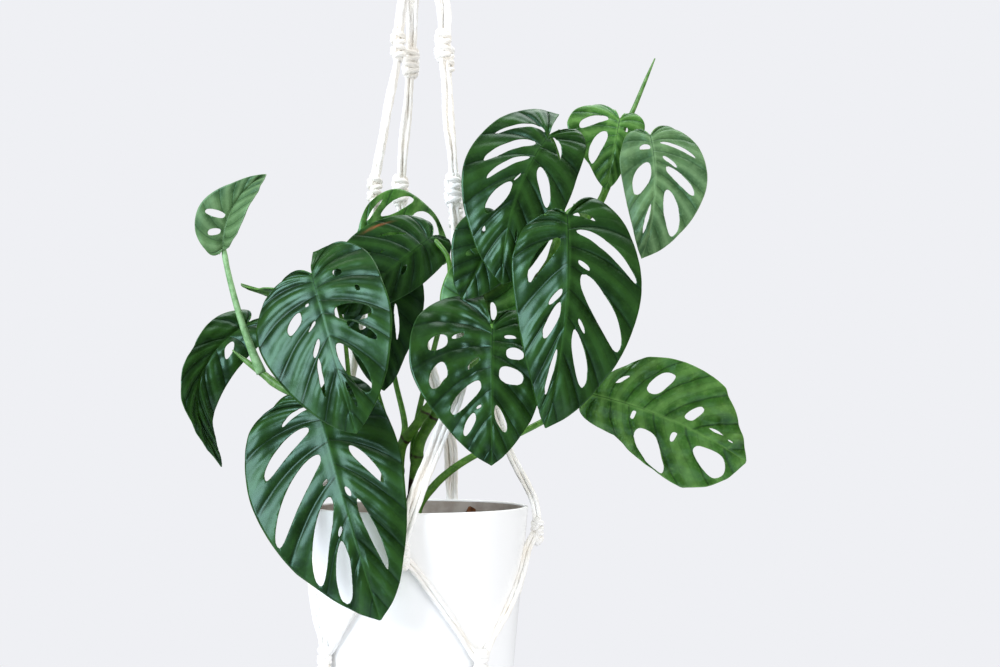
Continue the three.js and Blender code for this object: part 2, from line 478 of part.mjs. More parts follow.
function add(name, body, colour) {
  const mesh = body.translate([0, 0, -RIM_DROP]).getMesh();
  const geometry = new THREE.BufferGeometry();
  geometry.setAttribute('position', new THREE.Float32BufferAttribute(mesh.vertProperties, 3));
  geometry.setIndex(new THREE.Uint32BufferAttribute(mesh.triVerts, 1));
  const piece = new THREE.Mesh(geometry, new THREE.MeshStandardMaterial({ color: colour }));
  piece.name = name;
  group.add(piece);
}

const { rim, base, height, wall, floor, sides } = POT;
const potShape = [[0, -height], [base - 1, -height], [base, 1 - height], [rim, -0.8], [rim - 0.8, 0],
  [rim - wall + 0.8, 0], [rim - wall, -0.8], [base - wall + 0.4, floor - height], [0, floor - height]];
add('pot', turned(potShape, sides), COLOURS.pot);

const stems = Object.fromEntries(Object.entries(STEMS).map(([name, line]) => [name, bar(line, 7, 1)]));
stems.stem_left = stems.stem_left.add(bar(BUD, 6, 1));
const clear = Object.fromEntries(Object.entries(STEMS).map(([name, line]) => [name, bar(line, 7, 1, GAP)]));
clear.stem_left = clear.stem_left.add(bar(BUD, 6, 1, GAP));

const inside = (z) => potRadius(z) - wall - GAP;
const bumps = [0.2, -0.6, 0.9, -0.2];
let soil = turned([[0, floor - height + GAP], [inside(floor - height) - 1, floor - height + GAP],
  [inside(-SOIL.below) - 0.5, -SOIL.below], [55, -SOIL.below + bumps[0]],
  [38, -SOIL.below + bumps[2] * SOIL.bump],
  [20, -SOIL.below + bumps[1]], [0, -SOIL.below + SOIL.bump]], SOIL.sides);
const sunk = LEAVES.leaf_10.stalk.slice(0, 3).map((p) => [...p, LEAVES.leaf_10.radii[0] + 0.1]);
soil = soil.subtract(wasm.Manifold.union([...Object.values(clear), bar(sunk, 6, 1, GAP)]));
add('soil', soil, COLOURS.soil);

Object.entries(stems).forEach(([name, body]) => {
  add(name, body, name === 'stem_left' ? COLOURS.young : COLOURS.stem);
});
add('new_leaf', bar(SPEAR, 6, 1).subtract(clear.stem_main), COLOURS.young);
Object.entries(LEAVES).forEach(([name, leaf]) => {
  const body = leafSolid(leaf);
  const held = clear[leaf.stem] ? body.subtract(clear[leaf.stem]) : body;
  add(name, held, PALE.includes(name) ? COLOURS.pale : COLOURS.leaf);
});

add('hanger_ropes', hanger(), COLOURS.rope);
const ring = new THREE.TorusGeometry(RING.middle, RING.wire, 8, 24).rotateX(Math.PI / 2);
add('hanger_ring', closed(ring).translate([0, 0, RIM_DROP - RING.middle + RING.wire]), COLOURS.ring);

export default group;
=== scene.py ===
# %% [markdown]
# # A Swiss cheese vine in a hanging pot
#
# The plant is a climbing vine whose leaves grow with long holes between their side veins. It
# stands in a plain white pot, and a net of cotton rope with square knots carries the pot from
# a ring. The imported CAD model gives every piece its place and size.

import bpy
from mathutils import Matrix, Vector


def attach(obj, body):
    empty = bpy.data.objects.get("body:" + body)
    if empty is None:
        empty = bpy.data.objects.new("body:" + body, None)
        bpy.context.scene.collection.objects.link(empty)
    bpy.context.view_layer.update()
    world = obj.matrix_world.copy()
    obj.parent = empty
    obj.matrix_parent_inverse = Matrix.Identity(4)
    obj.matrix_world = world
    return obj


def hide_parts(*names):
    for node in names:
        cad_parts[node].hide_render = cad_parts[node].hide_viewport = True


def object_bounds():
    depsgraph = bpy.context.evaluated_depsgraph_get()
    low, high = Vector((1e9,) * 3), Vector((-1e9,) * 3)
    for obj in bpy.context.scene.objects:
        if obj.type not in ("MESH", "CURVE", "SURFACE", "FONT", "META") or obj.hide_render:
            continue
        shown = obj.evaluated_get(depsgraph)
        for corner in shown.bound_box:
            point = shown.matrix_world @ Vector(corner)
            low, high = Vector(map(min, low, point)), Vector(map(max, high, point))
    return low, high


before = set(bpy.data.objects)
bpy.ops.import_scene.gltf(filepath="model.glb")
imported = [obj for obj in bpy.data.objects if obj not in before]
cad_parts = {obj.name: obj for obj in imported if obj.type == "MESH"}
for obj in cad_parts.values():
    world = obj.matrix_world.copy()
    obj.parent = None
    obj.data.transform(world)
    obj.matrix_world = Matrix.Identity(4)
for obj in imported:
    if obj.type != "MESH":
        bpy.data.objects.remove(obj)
cad_box = [list(corner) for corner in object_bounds()]

import math
import random

import bmesh
import bpy
from mathutils import Matrix, Vector, noise

print("CAD pieces:", len(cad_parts))

# %% [markdown]
# ## Units, places and colours
#
# Every table below is in millimetres and counts from the middle of the pot's rim, because that
# is how a potter or a gardener would measure. The frame counts in metres from the inside top of
# the ring, so one function turns a place into the other. Colours are written as the usual hex
# numbers, and one function turns them linear, which is what the renderer mixes. A pattern's
# scale is how many of its spots fit in a metre, so a third function works it out from the size
# of one spot in millimetres.

# %% Units, places and colours
MM = 0.001
RIM_DROP = 525               # ring's inside top down to the pot's rim


def at(x, y, z):
    return Vector((x, y, z - RIM_DROP)) * MM


def tint(code):
    parts = [int(code[k:k + 2], 16) / 255 for k in (1, 3, 5)]
    return tuple(c / 12.92 if c <= 0.04045 else ((c + 0.055) / 1.055) ** 2.4 for c in parts) + (1,)


def per_metre(size):
    return 1000 / size


print("Pot's rim is at", at(0, 0, 0)[:])

# %% [markdown]
# ## The camera
#
# A 60 mm lens stands 1.3 m in front of the pot, a little above its rim and tilted up by two
# degrees. A long lens keeps the leaves near the camera from looking too large. Depth of field
# stays off, so that every leaf is sharp.

# %% The camera
camera = bpy.data.objects.new("camera", bpy.data.cameras.new("camera"))
camera.data.lens = 60
camera.data.sensor_width = 36
camera.location = at(63, -1300, 86)
camera.rotation_euler = (math.radians(92.1), 0, 0)
bpy.context.scene.collection.objects.link(camera)
bpy.context.scene.camera = camera
print("Camera at", camera.location[:])

# %% [markdown]
# ## One helper for material nodes
#
# A material is a small graph. This helper adds one node to it, sets its options, and fills its
# sockets, which are named or counted. A plain number or colour is written in the socket, and
# another node is linked by its first output. Every material below is built with it, round one
# Principled shader. Most of them are painted in thin coats: each coat is a colour, with the
# pattern that says where it lies and how thickly, and it goes over the coats before it.

# %% A helper for material nodes
SMOOTH = {"interpolation_type": "SMOOTHSTEP"}


def put(tree, kind, sockets=None, **settings):
    made = tree.nodes.new("ShaderNode" + kind)
    for name, value in settings.items():
        setattr(made, name, value)
    for key, value in (sockets or {}).items():
        named = [s for s in made.inputs if s.enabled and s.name == key]
        socket = named[0] if named else made.inputs[key]
        if isinstance(value, bpy.types.Node):
            value = next(s for s in value.outputs if s.enabled)
        if isinstance(value, bpy.types.NodeSocket):
            tree.links.new(value, socket)
        else:
            socket.default_value = value
    return made


def new_finish(name):
    made = bpy.data.materials.new(name)
    made.use_nodes = True
    made.node_tree.nodes.clear()
    return made, made.node_tree


def finish_with(tree, **sockets):
    named = {key.replace("_", " "): value for key, value in sockets.items()}
    put(tree, "OutputMaterial", {"Surface": put(tree, "BsdfPrincipled", named)})


def fade(value, start, end, low, high):
    return {"Value": value, "From Min": start, "From Max": end, "To Min": low, "To Max": high}


def painted(tree, base, coats):
    for pattern, start, end, low, high, colour in coats:
        amount = put(tree, "MapRange", fade(pattern, start, end, low, high), **SMOOTH)
        base = put(tree, "Mix", {"Factor": amount, "A": base, "B": colour}, data_type="RGBA")
    return base


print("Node helpers ready")

# %% [markdown]
# ## The studio
#
# A pale board lies under the hanging plant, and the world round it is a plain cool white. The
# plant is lit as beside a large window: one wide soft light on the left, a wider and weaker one
# above and behind, and a little from the front, which brightens but isn't mirrored. Glossy rays
# meet a dim room instead of the bright one. The waxy leaves need this: where they face the room
# they show their deep green, and only where they face the window they shine.

# %% The studio
BOARD_BELOW, BOARD_RADIUS = 0.03, 1.1    # metres under the tassel, and across
floor_level = cad_box[0][2] - BOARD_BELOW
board = bmesh.new()
bmesh.ops.create_circle(board, cap_ends=True, segments=96, radius=BOARD_RADIUS,
                        matrix=Matrix.Translation((0, 0, floor_level)))
floor_mesh = bpy.data.meshes.new("floor")
board.to_mesh(floor_mesh)
board.free()
floor = bpy.data.objects.new("floor", floor_mesh)
bpy.context.scene.collection.objects.link(floor)
painted_board, tree = new_finish("Matt_painted_board")
finish_with(tree, Base_Color=tint("#c6c7cb"), Roughness=0.9, Specular_IOR_Level=0.1)
floor_mesh.materials.append(painted_board)

world = bpy.data.worlds.new("pale_room")
bpy.context.scene.world = world
world.use_nodes = True
room = world.node_tree
room.nodes.clear()
seen = put(room, "Background", {"Color": tint("#eff0f4"), "Strength": 1.0})
lit = put(room, "Background", {"Color": tint("#f4f5f8"), "Strength": 0.66})
mirrored = put(room, "Background", {"Color": tint("#e8eefa"), "Strength": 0.06})
rays = put(room, "LightPath")
soft = put(room, "MixShader", {"Fac": rays.outputs["Is Glossy Ray"], 1: lit, 2: mirrored})
either = put(room, "MixShader", {"Fac": rays.outputs["Is Camera Ray"], 1: soft, 2: seen})
put(room, "OutputWorld", {"Surface": either})


def soft_light(name, place, aim, size, watts, colour, mirrored=True):
    lamp = bpy.data.objects.new(name, bpy.data.lights.new(name, "AREA"))
    lamp.data.shape = "SQUARE"
    lamp.data.size = size
    lamp.data.energy = watts
    lamp.data.color = tint(colour)[:3]
    lamp.location = place
    lamp.rotation_euler = (Vector(aim) - Vector(place)).to_track_quat("-Z", "Y").to_euler()
    lamp.visible_glossy = mirrored
    bpy.context.scene.collection.objects.link(lamp)


soft_light("window_light", (-1.45, -1.35, 0.5), (0, 0, -0.4), 1.25, 56, "#e4effc")
soft_light("ceiling_light", (0.3, 0.6, 1.1), (0, 0, -0.4), 1.6, 26, "#ffffff")
soft_light("front_light", (1.2, -1.5, 0.1), (0, 0, -0.5), 1.6, 17, "#fffdfa", mirrored=False)
bpy.context.scene.view_settings.view_transform = "Standard"
print("Floor at", round(floor_level, 3), "m")

# %% [markdown]
# ## Making and placing a piece
#
# Every piece is built with its place already in its mesh, so its object stays at the origin. It
# is smooth-shaded, rides on the one body of this part, and stands for the CAD nodes that it
# replaces. A piece that is made of several parts starts as an empty shape, and the parts are
# gathered into it one by one.

# %% Making and placing a piece
def make_piece(name, shape, finishes, replaced):
    mesh = bpy.data.meshes.new(name)
    shape.to_mesh(mesh)
    shape.free()
    mesh.shade_smooth()
    for finish in finishes:
        mesh.materials.append(finish)
    piece = bpy.data.objects.new(name, mesh)
    bpy.context.scene.collection.objects.link(piece)
    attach(piece, "root")
    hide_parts(*replaced)
    return piece


def empty_shape():
    shape = bmesh.new()
    shape.loops.layers.uv.new("Along")
    return shape


def gather(target, part, material=0):
    for face in part.faces:
        face.material_index = material
    carrier = bpy.data.meshes.new("carrier")
    part.to_mesh(carrier)
    part.free()
    target.from_mesh(carrier)
    bpy.data.meshes.remove(carrier)


print("Piece helpers ready")


# %% [markdown]
# ## Round things that follow a line
#
# Stems, stalks and ropes are all rods that follow a curved line. A smooth curve runs through the
# points of the table. A flat sheet of faces is then rolled round it: across the sheet goes round
# the rod, up the sheet goes along it, and the two long edges are merged. The sheet brings a UV
# map with it, so that a pattern can follow the rod.

# %% A smooth line through measured points
TEST_POINTS = [(0, 0, 0, 1), (0, 0, 30, 1)]


def eased(start, end, leaving, arriving, t):
    return (start * (2 * t ** 3 - 3 * t ** 2 + 1) + leaving * (t ** 3 - 2 * t ** 2 + t)
            + end * (3 * t ** 2 - 2 * t ** 3) + arriving * (t ** 3 - t ** 2))


def smooth_line(points, step):
    spots = [Vector(p[:3]) for p in points]
    knots = [0.0]
    for a, b in zip(spots, spots[1:]):
        knots.append(knots[-1] + max((b - a).length, 1e-6))
    last = len(spots) - 1

    def slope(k):
        a, b = max(k - 1, 0), min(k + 1, last)
        return (spots[b] - spots[a]) / (knots[b] - knots[a])

    line = []
    for k in range(last):
        long = knots[k + 1] - knots[k]
        count = max(1, round(long / step))
        for j in range(count + (k == last - 1)):
            t = j / count
            spot = eased(spots[k], spots[k + 1], slope(k) * long, slope(k + 1) * long, t)
            wide = points[k][3] + (points[k + 1][3] - points[k][3]) * t
            line.append((spot, wide, knots[k] + long * t))
    return line


print("Points on a test line:", len(smooth_line(TEST_POINTS, 3)))

# %% [markdown]
# To place the sheet, every point of the line needs two directions across the line. They are
# carried along from point to point without a twist, so a pattern doesn't spin. A `shape`
# function can then change the turn and the width anywhere on the rod.

# %% Frames along the line, and the rolled sheet
def frames_along(line):
    spots = [entry[0] for entry in line]
    across = None
    made = []
    for k, (spot, wide, run) in enumerate(line):
        ahead = (spots[min(k + 1, len(spots) - 1)] - spots[max(k - 1, 0)]).normalized()
        if across is None:
            across = Vector((1, 0, 0)) if abs(ahead.x) < 0.8 else Vector((0, 1, 0))
        across = (across - ahead * across.dot(ahead)).normalized()
        made.append((spot, across, ahead.cross(across), wide, run))
    return made


def rolled(line, sides, shape=None):
    rings = frames_along(line)
    sheet = bmesh.new()
    along = sheet.loops.layers.uv.new("Along")
    bmesh.ops.create_grid(sheet, x_segments=sides, y_segments=len(rings) - 1, size=0.5,
                          calc_uvs=True)
    for face in sheet.faces:
        for corner in face.loops:
            corner[along].uv.y *= line[-1][2] * MM           # so the map counts in metres
    for vert in sheet.verts:
        turn = round((vert.co.x + 0.5) * sides) % sides / sides * 2 * math.pi
        spot, across, other, wide, run = rings[round((vert.co.y + 0.5) * (len(rings) - 1))]
        if shape:
            turn, wide = shape(turn, wide, run)
        vert.co = at(*(spot + across * wide * math.cos(turn) + other * wide * math.sin(turn)))
    bmesh.ops.remove_doubles(sheet, verts=sheet.verts, dist=1e-7)
    bmesh.ops.holes_fill(sheet, edges=[e for e in sheet.edges if e.is_boundary])
    bmesh.ops.recalc_face_normals(sheet, faces=sheet.faces)
    return sheet


test_rod = rolled(smooth_line(TEST_POINTS, 3), 8)
print("Faces on the test rod:", len(test_rod.faces))
test_rod.free()

# %% [markdown]
# ## The leaves, measured
#
# Every leaf is one row of numbers. `base` and `tip` are the ends of the midrib. `left` and
# `right` describe the outline of each half: how far the lobe reaches back, then four widths,
# where 1 is the usual leaf. `arch` lifts the midrib and `bow` moves it sideways, `fold` and
# `curl` raise the halves, and `roll` and `twist` turn the leaf about its midrib. Each hole is a
# side, its place between the veins, its half width, where it starts and ends between midrib and
# edge, and its slant. `stalk` leads from the stem to the blade.

# %% The leaves, measured
LEAVES = dict(
    leaf_01=dict(base=(-148.5, -30, 198), tip=(-115.5, -34, 254), left=(-0.6, 0.3, 0.85, 1, 0.9),
        right=(0.8, 1.25, 0.98, 0.62, 0.5), bow=9, fold=(55, 15), curl=(-10, -10),
        radii=(3.2, 1.5),
        stalk=[(-118.5, -30, 102.5), (-126, -30, 120), (-135.5, -30, 146.5), (-144, -30, 177.5)],
        holes=[(1, 0.438, 0.028, 0.19, 0.8, -0.23), (1, 0.309, 0.03, 0.14, 0.54, -0.22)]),
    leaf_02=dict(base=(-136.5, 12, 142), tip=(-154.5, 8, 29.5), roll=30, twist=60,
        left=(0.3, 0.9, 0.4, 0.36, 0.4), right=(0.2, 0.85, 0.6, 0.35, 0.4), arch=4, bow=-33,
        fold=(20, 20), curl=(-10, -10), radii=(2.2, 1.5),
        stalk=[(-88, -42, 85), (-92.5, -30, 95.5), (-103.5, 2, 125), (-121, 15, 141)],
        holes=[(1, 0.361, 0.028, 0.2, 0.57, 0.09)]),
    leaf_03=dict(base=(-76.5, -70, 175), tip=(-39.5, -113, 58.5), roll=-12,
        left=(-0.1, 0.98, 1.1, 1.02, 0.9), right=(1.3, 1.12, 0.97, 0.93, 0.8), arch=8, bow=3,
        fold=(-12, -16), curl=(14, 16), radii=(2.6, 1.9),
        stalk=[(-54, -42, 80.5), (-59, -46, 97), (-65.5, -54, 134.5), (-72.5, -62, 162.5)],
        holes=[(1, 0.257, 0.018, 0.32, 0.46, 0), (1, 0.345, 0.012, 0.57, 0.64, 0),
            (1, 0.46, 0.036, 0.19, 0.74, -0.1), (1, 0.525, 0.02, 0.37, 0.82, 0),
            (1, 0.714, 0.06, 0.08, 0.85, 0.05), (1, 0.85, 0.022, 0.15, 0.58, 0.1),
            (-1, 0.422, 0.026, 0.31, 0.58, 0.07), (-1, 0.502, 0.012, 0.16, 0.32, 0.06),
            (-1, 0.6, 0.015, 0.2, 0.43, 0.08), (-1, 0.694, 0.026, 0.36, 0.66, 0.33),
            (-1, 0.384, 0.01, 0.16, 0.22, 0)]),
    leaf_04=dict(base=(-73, -60, 81), tip=(-22, -110, -74), left=(0, 1, 1, 1, 0.8),
        right=(0.4, 0.75, 0.73, 0.72, 0.72), arch=10, bow=0, fold=(-14, -8), curl=(16, 20),
        radii=(2.6, 2.1),
        stalk=[(-65, -42, 82.5), (-70, -52, 85)],
        holes=[(-1, 0.196, 0.018, 0.09, 0.49, 0.25), (-1, 0.339, 0.028, 0.17, 0.78, 0.09),
            (-1, 0.482, 0.033, 0.13, 0.97, 0.06), (-1, 0.653, 0.036, 0.17, 0.96, 0.07),
            (-1, 0.784, 0.044, 0.28, 0.95, 0.06), (-1, 0.553, 0.007, 0.14, 0.22, 0),
            (-1, 0.714, 0.007, 0.2, 0.33, 0), (1, 0.458, 0.024, 0.29, 0.73, 0.12),
            (1, 0.616, 0.014, 0.08, 0.19, 0), (1, 0.706, 0.043, 0.26, 0.78, 0.23)]),
    leaf_05=dict(base=(57.5, -92, 136), tip=(57, -118, 36), left=(2.2, 1.75, 1.5, 1.2, 1),
        right=(1, 0.9, 0.92, 0.92, 0.75), arch=8, fold=(-12, -14), curl=(14, 14),
        radii=(2.6, 2),
        stalk=[(34.5, -40, 108.5), (48, -70, 117.5)],
        holes=[(-1, 0.318, 0.03, 0.54, 0.78, 0), (-1, 0.3, 0.013, 0.34, 0.49, 0.1),
            (-1, 0.448, 0.034, 0.62, 0.88, 0.1), (-1, 0.475, 0.016, 0.18, 0.37, 0.17),
            (-1, 0.609, 0.035, 0.22, 0.84, 0.01), (-1, 0.705, 0.008, 0.29, 0.42, -0.09),
            (-1, 0.728, 0.024, 0.48, 0.87, 0.03), (1, 0.283, 0.012, 0.24, 0.48, 0),
            (1, 0.38, 0.031, 0.27, 0.61, -0.09), (1, 0.51, 0.045, 0.16, 0.66, -0.14),
            (1, 0.758, 0.037, 0.11, 0.68, 0)]),
    leaf_06=dict(base=(111.5, -100, 215.5), tip=(95, -122, 62.5),
        left=(-0.8, 0.6, 0.68, 0.54, 0.38), right=(0.6, 0.85, 0.88, 0.87, 0.8), arch=8, bow=6,
        fold=(-14, -18), curl=(14, 20), radii=(2.6, 2.1),
        stalk=[(128, -28, 222.5), (124, -52, 224), (117.5, -80, 222)],
        holes=[(-1, 0.36, 0.038, 0.13, 0.75, 0.12), (-1, 0.544, 0.014, 0.12, 0.44, -0.05),
            (-1, 0.61, 0.034, 0.15, 0.62, 0), (-1, 0.8, 0.036, 0.17, 0.69, 0.09),
            (1, 0.161, 0.018, 0.14, 0.46, 0.24), (1, 0.303, 0.022, 0.12, 0.93, 0.11),
            (1, 0.424, 0.011, 0.13, 0.3, 0.04), (1, 0.513, 0.046, 0.18, 0.95, 0.06),
            (1, 0.638, 0.009, 0.25, 0.43, 0.03), (1, 0.72, 0.04, 0.19, 0.82, 0.06)]),
    leaf_07=dict(base=(99.5, -66, 279), tip=(64.5, -96, 166), left=(1.5, 1.05, 0.98, 0.85, 0.8),
        right=(0.6, 0.75, 0.75, 0.85, 0.9), arch=8, bow=-9, fold=(-14, -14), curl=(14, 18),
        radii=(2.5, 1.9),
        stalk=[(105.5, -45, 202), (109.5, -38, 217), (110, -38, 241.5), (106, -48, 266.5)],
        holes=[(-1, 0.195, 0.016, 0.13, 0.81, 0.2), (-1, 0.331, 0.03, 0.1, 0.74, 0.16),
            (-1, 0.436, 0.02, 0.06, 0.65, 0.12), (-1, 0.535, 0.012, 0.08, 0.17, 0.3),
            (-1, 0.603, 0.047, 0.17, 0.68, 0.04), (-1, 0.692, 0.014, 0.72, 0.8, 0),
            (1, 0.23, 0.028, 0.08, 0.5, 0.37), (1, 0.469, 0.037, 0.18, 0.71, 0.11),
            (1, 0.775, 0.012, 0.29, 0.41, 0.25)]),
    leaf_08=dict(base=(156, -12, 300), tip=(144.5, -22, 243.5), left=(1.2, 1.95, 1.75, 1, 0.8),
        right=(1, 1.2, 0.9, 0.6, 0.6), arch=5, fold=(-14, -14), curl=(14, 14),
        radii=(1.9, 1.5),
        stalk=[(158, 2, 289), (157.5, -3, 295)],
        holes=[(-1, 0.299, 0.045, 0.22, 0.79, 0.17), (-1, 0.529, 0.06, 0.24, 0.94, 0.2),
            (1, 0.33, 0.03, 0.22, 0.4, 0)]),
    leaf_09=dict(base=(178, -30, 284), tip=(169.5, -50, 188.5), left=(-0.1, 0.6, 0.7, 0.56, 0.42),
        right=(0.5, 1.1, 1.05, 1, 0.95), arch=6, bow=6, fold=(-12, -14), curl=(14, 22),
        radii=(2, 1.6),
        stalk=[(155, 3, 278), (169.5, 7, 277), (184.5, 0, 277.5), (185.5, -16, 280.5)],
        holes=[(-1, 0.289, 0.028, 0.06, 0.38, 0.03), (-1, 0.481, 0.066, 0.13, 0.78, 0.01),
            (-1, 0.762, 0.045, 0.18, 0.64, 0.13), (1, 0.269, 0.016, 0.17, 0.82, 0.08),
            (1, 0.394, 0.017, 0.17, 0.44, 0.12), (1, 0.466, 0.03, 0.23, 0.84, 0.03),
            (1, 0.668, 0.066, 0.27, 0.94, 0.1)]),
    leaf_10=dict(base=(133.5, 10, 86.5), tip=(259, 30, 32.5), left=(-0.3, 0.45, 0.5, 1.12, 1.25),
        right=(-0.3, 0.15, 0.76, 1.06, 0.82), arch=6, bow=6.5, fold=(-8, -8), curl=(14, 14),
        radii=(3.4, 1.8),
        stalk=[(-1, -16.5, -46), (0, -16.5, -3), (13.5, -16.5, 16.8), (28, -16, 29.5),
            (42.5, -15, 38.5), (67, -12, 50.5), (98, -4, 66), (119.5, 5, 79.5)],
        holes=[(1, 0.463, 0.033, 0.3, 0.74, -0.09), (1, 0.309, 0.016, 0.34, 0.52, 0.13),
            (1, 0.687, 0.02, 0.19, 0.59, -0.08), (1, 0.809, 0.015, 0.33, 0.52, 0.2),
            (1, 0.873, 0.009, 0.48, 0.57, 0.1), (-1, 0.461, 0.012, 0.07, 0.24, -0.15),
            (-1, 0.498, 0.06, 0.32, 0.97, -0.07), (-1, 0.661, 0.012, 0.19, 0.38, -0.17),
            (-1, 0.813, 0.068, 0.3, 0.93, 0)]),
    leaf_11=dict(base=(-36, -12, 188.5), tip=(23.5, 20, 194.5), left=(0.5, 0.6, 0.6, 0.6, 0.6),
        right=(1, 1.9, 2.05, 2.2, 2.5), arch=5, fold=(-40, 10), curl=(-10, -10),
        radii=(1.9, 1.4),
        stalk=[(-14.5, -7, 37), (-23, 6, 57), (-35, 8, 97.5), (-39, 6, 136.5), (-38, 0, 167.5)],
        holes=[(1, 0.427, 0.05, 0.62, 0.96, 0.4), (1, 0.265, 0.022, 0.68, 0.88, 0.4),
            (1, 0.26, 0.02, 0.5, 0.57, 0), (1, 0.7, 0.13, 0.5, 0.93, 0)]),
    leaf_12=dict(base=(11, -30, 207), tip=(-57, -52, 147), left=(0.2, 0.7, 0.95, 1.3, 1.3),
        right=(0.6, 0.7, 0.65, 0.65, 0.8), arch=8, fold=(-14, -16), curl=(12, 16),
        radii=(2.3, 1.7),
        stalk=[(-2.5, -8, 29.5), (-4.5, -1, 39), (-2.5, 0, 60), (5, -6, 93.5), (17, -20, 139.5),
            (24, -30, 166), (23.5, -34, 190)],
        holes=[(-1, 0.39, 0.018, 0.37, 0.66, 0.28), (1, 0.525, 0.02, 0.2, 0.44, 0),
            (-1, 0.55, 0.01, 0.38, 0.42, 0), (-1, 0.58, 0.01, 0.56, 0.6, 0)]),
    leaf_13=dict(base=(-25.5, -22, 178), tip=(-25.5, -28, 89), left=(1, 0.9, 0.9, 0.9, 0.9),
        right=(0.5, 1, 0.88, 0.62, 0.6), arch=2, fold=(-5, -5), curl=(-6, -6),
        radii=(2.2, 1.6),
        stalk=[(-13, -9, 47), (-11, 0, 62.5), (-19, 6, 97.5), (-25, 6, 132.5), (-26.5, -4, 161)],
        holes=[(1, 0.515, 0.04, 0.3, 0.62, 0.45), (-1, 0.5, 0.04, 0.3, 0.7, 0),
            (-1, 0.7, 0.03, 0.3, 0.7, 0)]),
    leaf_14=dict(base=(63, -68, 209.5), tip=(35, -80, 156), left=(1.3, 1.2, 1.2, 1, 1),
        right=(1, 1, 1, 1, 1), arch=3, fold=(4, 4), curl=(-10, -10),
        radii=(2.2, 1.7),
        stalk=[(78, -42, 155), (73.5, -46, 172.5), (67.5, -56, 194)],
        holes=[(-1, 0.31, 0.03, 0.3, 0.4, 0), (1, 0.45, 0.03, 0.3, 0.7, 0),
            (-1, 0.55, 0.03, 0.25, 0.65, 0)]),
    leaf_15=dict(base=(53.5, -72, 139.5), tip=(48, -54, 203.5), left=(0.6, 1.3, 1.2, 1, 1),
        right=(0.6, 1.3, 1.3, 1.1, 1), arch=4, fold=(5, 5), curl=(-10, -10),
        radii=(2.2, 1.8),
        stalk=[(63, -40, 135), (59.5, -52, 135), (55, -64, 137)],
        holes=[(-1, 0.3, 0.1, 0.1, 0.25, 0)]),
    leaf_16=dict(base=(-66.5, -30, 169), tip=(-137, -16, 170.5), roll=82,
        left=(1, 0.8, 0.8, 0.8, 0.8), right=(1, 0.8, 0.8, 0.8, 0.8), arch=5, fold=(10, 10),
        curl=(-15, -15), radii=(1.8, 1.3),
        stalk=[(-48.5, -41, 77.5), (-50.5, -42, 95.5), (-55, -42, 135), (-61, -37, 158)],
        holes=[]),
)
print("Leaves:", len(LEAVES), "with", sum(len(leaf["holes"]) for leaf in LEAVES.values()), "holes")

# %% [markdown]
# ## The shape of a leaf
#
# A flat sheet can be drawn in "vein coordinates": `q` says which side vein, from the base to the
# tip, and `s` says how far along that vein, from the left edge to the right one. One function
# lays such a point on the flat leaf and another bends it into the leaf's own pose. The veins of
# the real leaf start almost level and sweep toward the tip, and this grid does the same, so
# holes and veins drawn on it fall where they grow.

# %% The shape of a leaf
EDGE_Q = [0, 0.1, 0.2, 0.35, 0.5, 0.7, 0.85, 1]
EDGE_ALONG = [-0.113, -0.132, 0.004, 0.307, 0.575, 0.815, 0.929, 1]
EDGE_ACROSS = [0.041, 0.199, 0.335, 0.397, 0.346, 0.222, 0.122, 0.006]
WIDTH_Q = [0, 0.1, 0.3, 0.6, 0.85, 1]
VEIN_STARTS = 1.8                        # how closely the veins start near the leaf's base
VEIN_BOW = 0.5                           # how far a vein bows toward the base
LOBE_BACK, LOBE_TO = 0.13, 0.4           # how far a lobe reaches back, and where it ends
NOTCH, NOTCH_TURN = 0.1, 0.8             # where the base is notched, and how sharply
HALF_WIDE = 0.4                          # half the usual leaf's width, in leaf lengths
FOLD_OVER = 2.5                          # mm over which the fold at the midrib is eased


def linear(x, xs, ys):
    i = 0
    while i < len(xs) - 2 and x > xs[i + 1]:
        i += 1
    return ys[i] + (ys[i + 1] - ys[i]) * (x - xs[i]) / (xs[i + 1] - xs[i])


def smooth(x, xs, ys):
    def slope(k):
        a, b = max(k - 1, 0), min(k + 1, len(xs) - 1)
        return (ys[b] - ys[a]) / (xs[b] - xs[a])

    i = 0
    while i < len(xs) - 2 and x > xs[i + 1]:
        i += 1
    gap = xs[i + 1] - xs[i]
    return eased(ys[i], ys[i + 1], gap * slope(i), gap * slope(i + 1), (x - xs[i]) / gap)


def edge(half, q):
    lobe, *widths = half
    back = (lobe - 1) * LOBE_BACK * max(0, 1 - q / LOBE_TO) ** 1.5
    wide = linear(q, WIDTH_Q, [widths[0], *widths, widths[-1]])
    return smooth(q, EDGE_Q, EDGE_ALONG) - back, smooth(q, EDGE_Q, EDGE_ACROSS) * wide


def flat(leaf, q, s):
    half = leaf["left"] if s < 0 else leaf["right"]
    q = min(max(q, 0), 1)
    start = q ** VEIN_STARTS
    edge_u, edge_v = edge(half, q)
    if q < NOTCH:
        notch_u, notch_v = edge(half, NOTCH)
        lean = (notch_u - NOTCH ** VEIN_STARTS) / notch_v - NOTCH_TURN * (1 - q / NOTCH)
        edge_u = min(edge_u, start + edge_v * lean)
    a = abs(s)
    return start + a * (edge_u - start) - VEIN_BOW * edge_v * a * (1 - a), a * edge_v


def leaf_length(leaf):
    return (Vector(leaf["tip"]) - Vector(leaf["base"])).length


def turned_axes(up, side, degrees):
    turn = math.radians(degrees)
    return up * math.cos(turn) + side * math.sin(turn), side * math.cos(turn) - up * math.sin(turn)


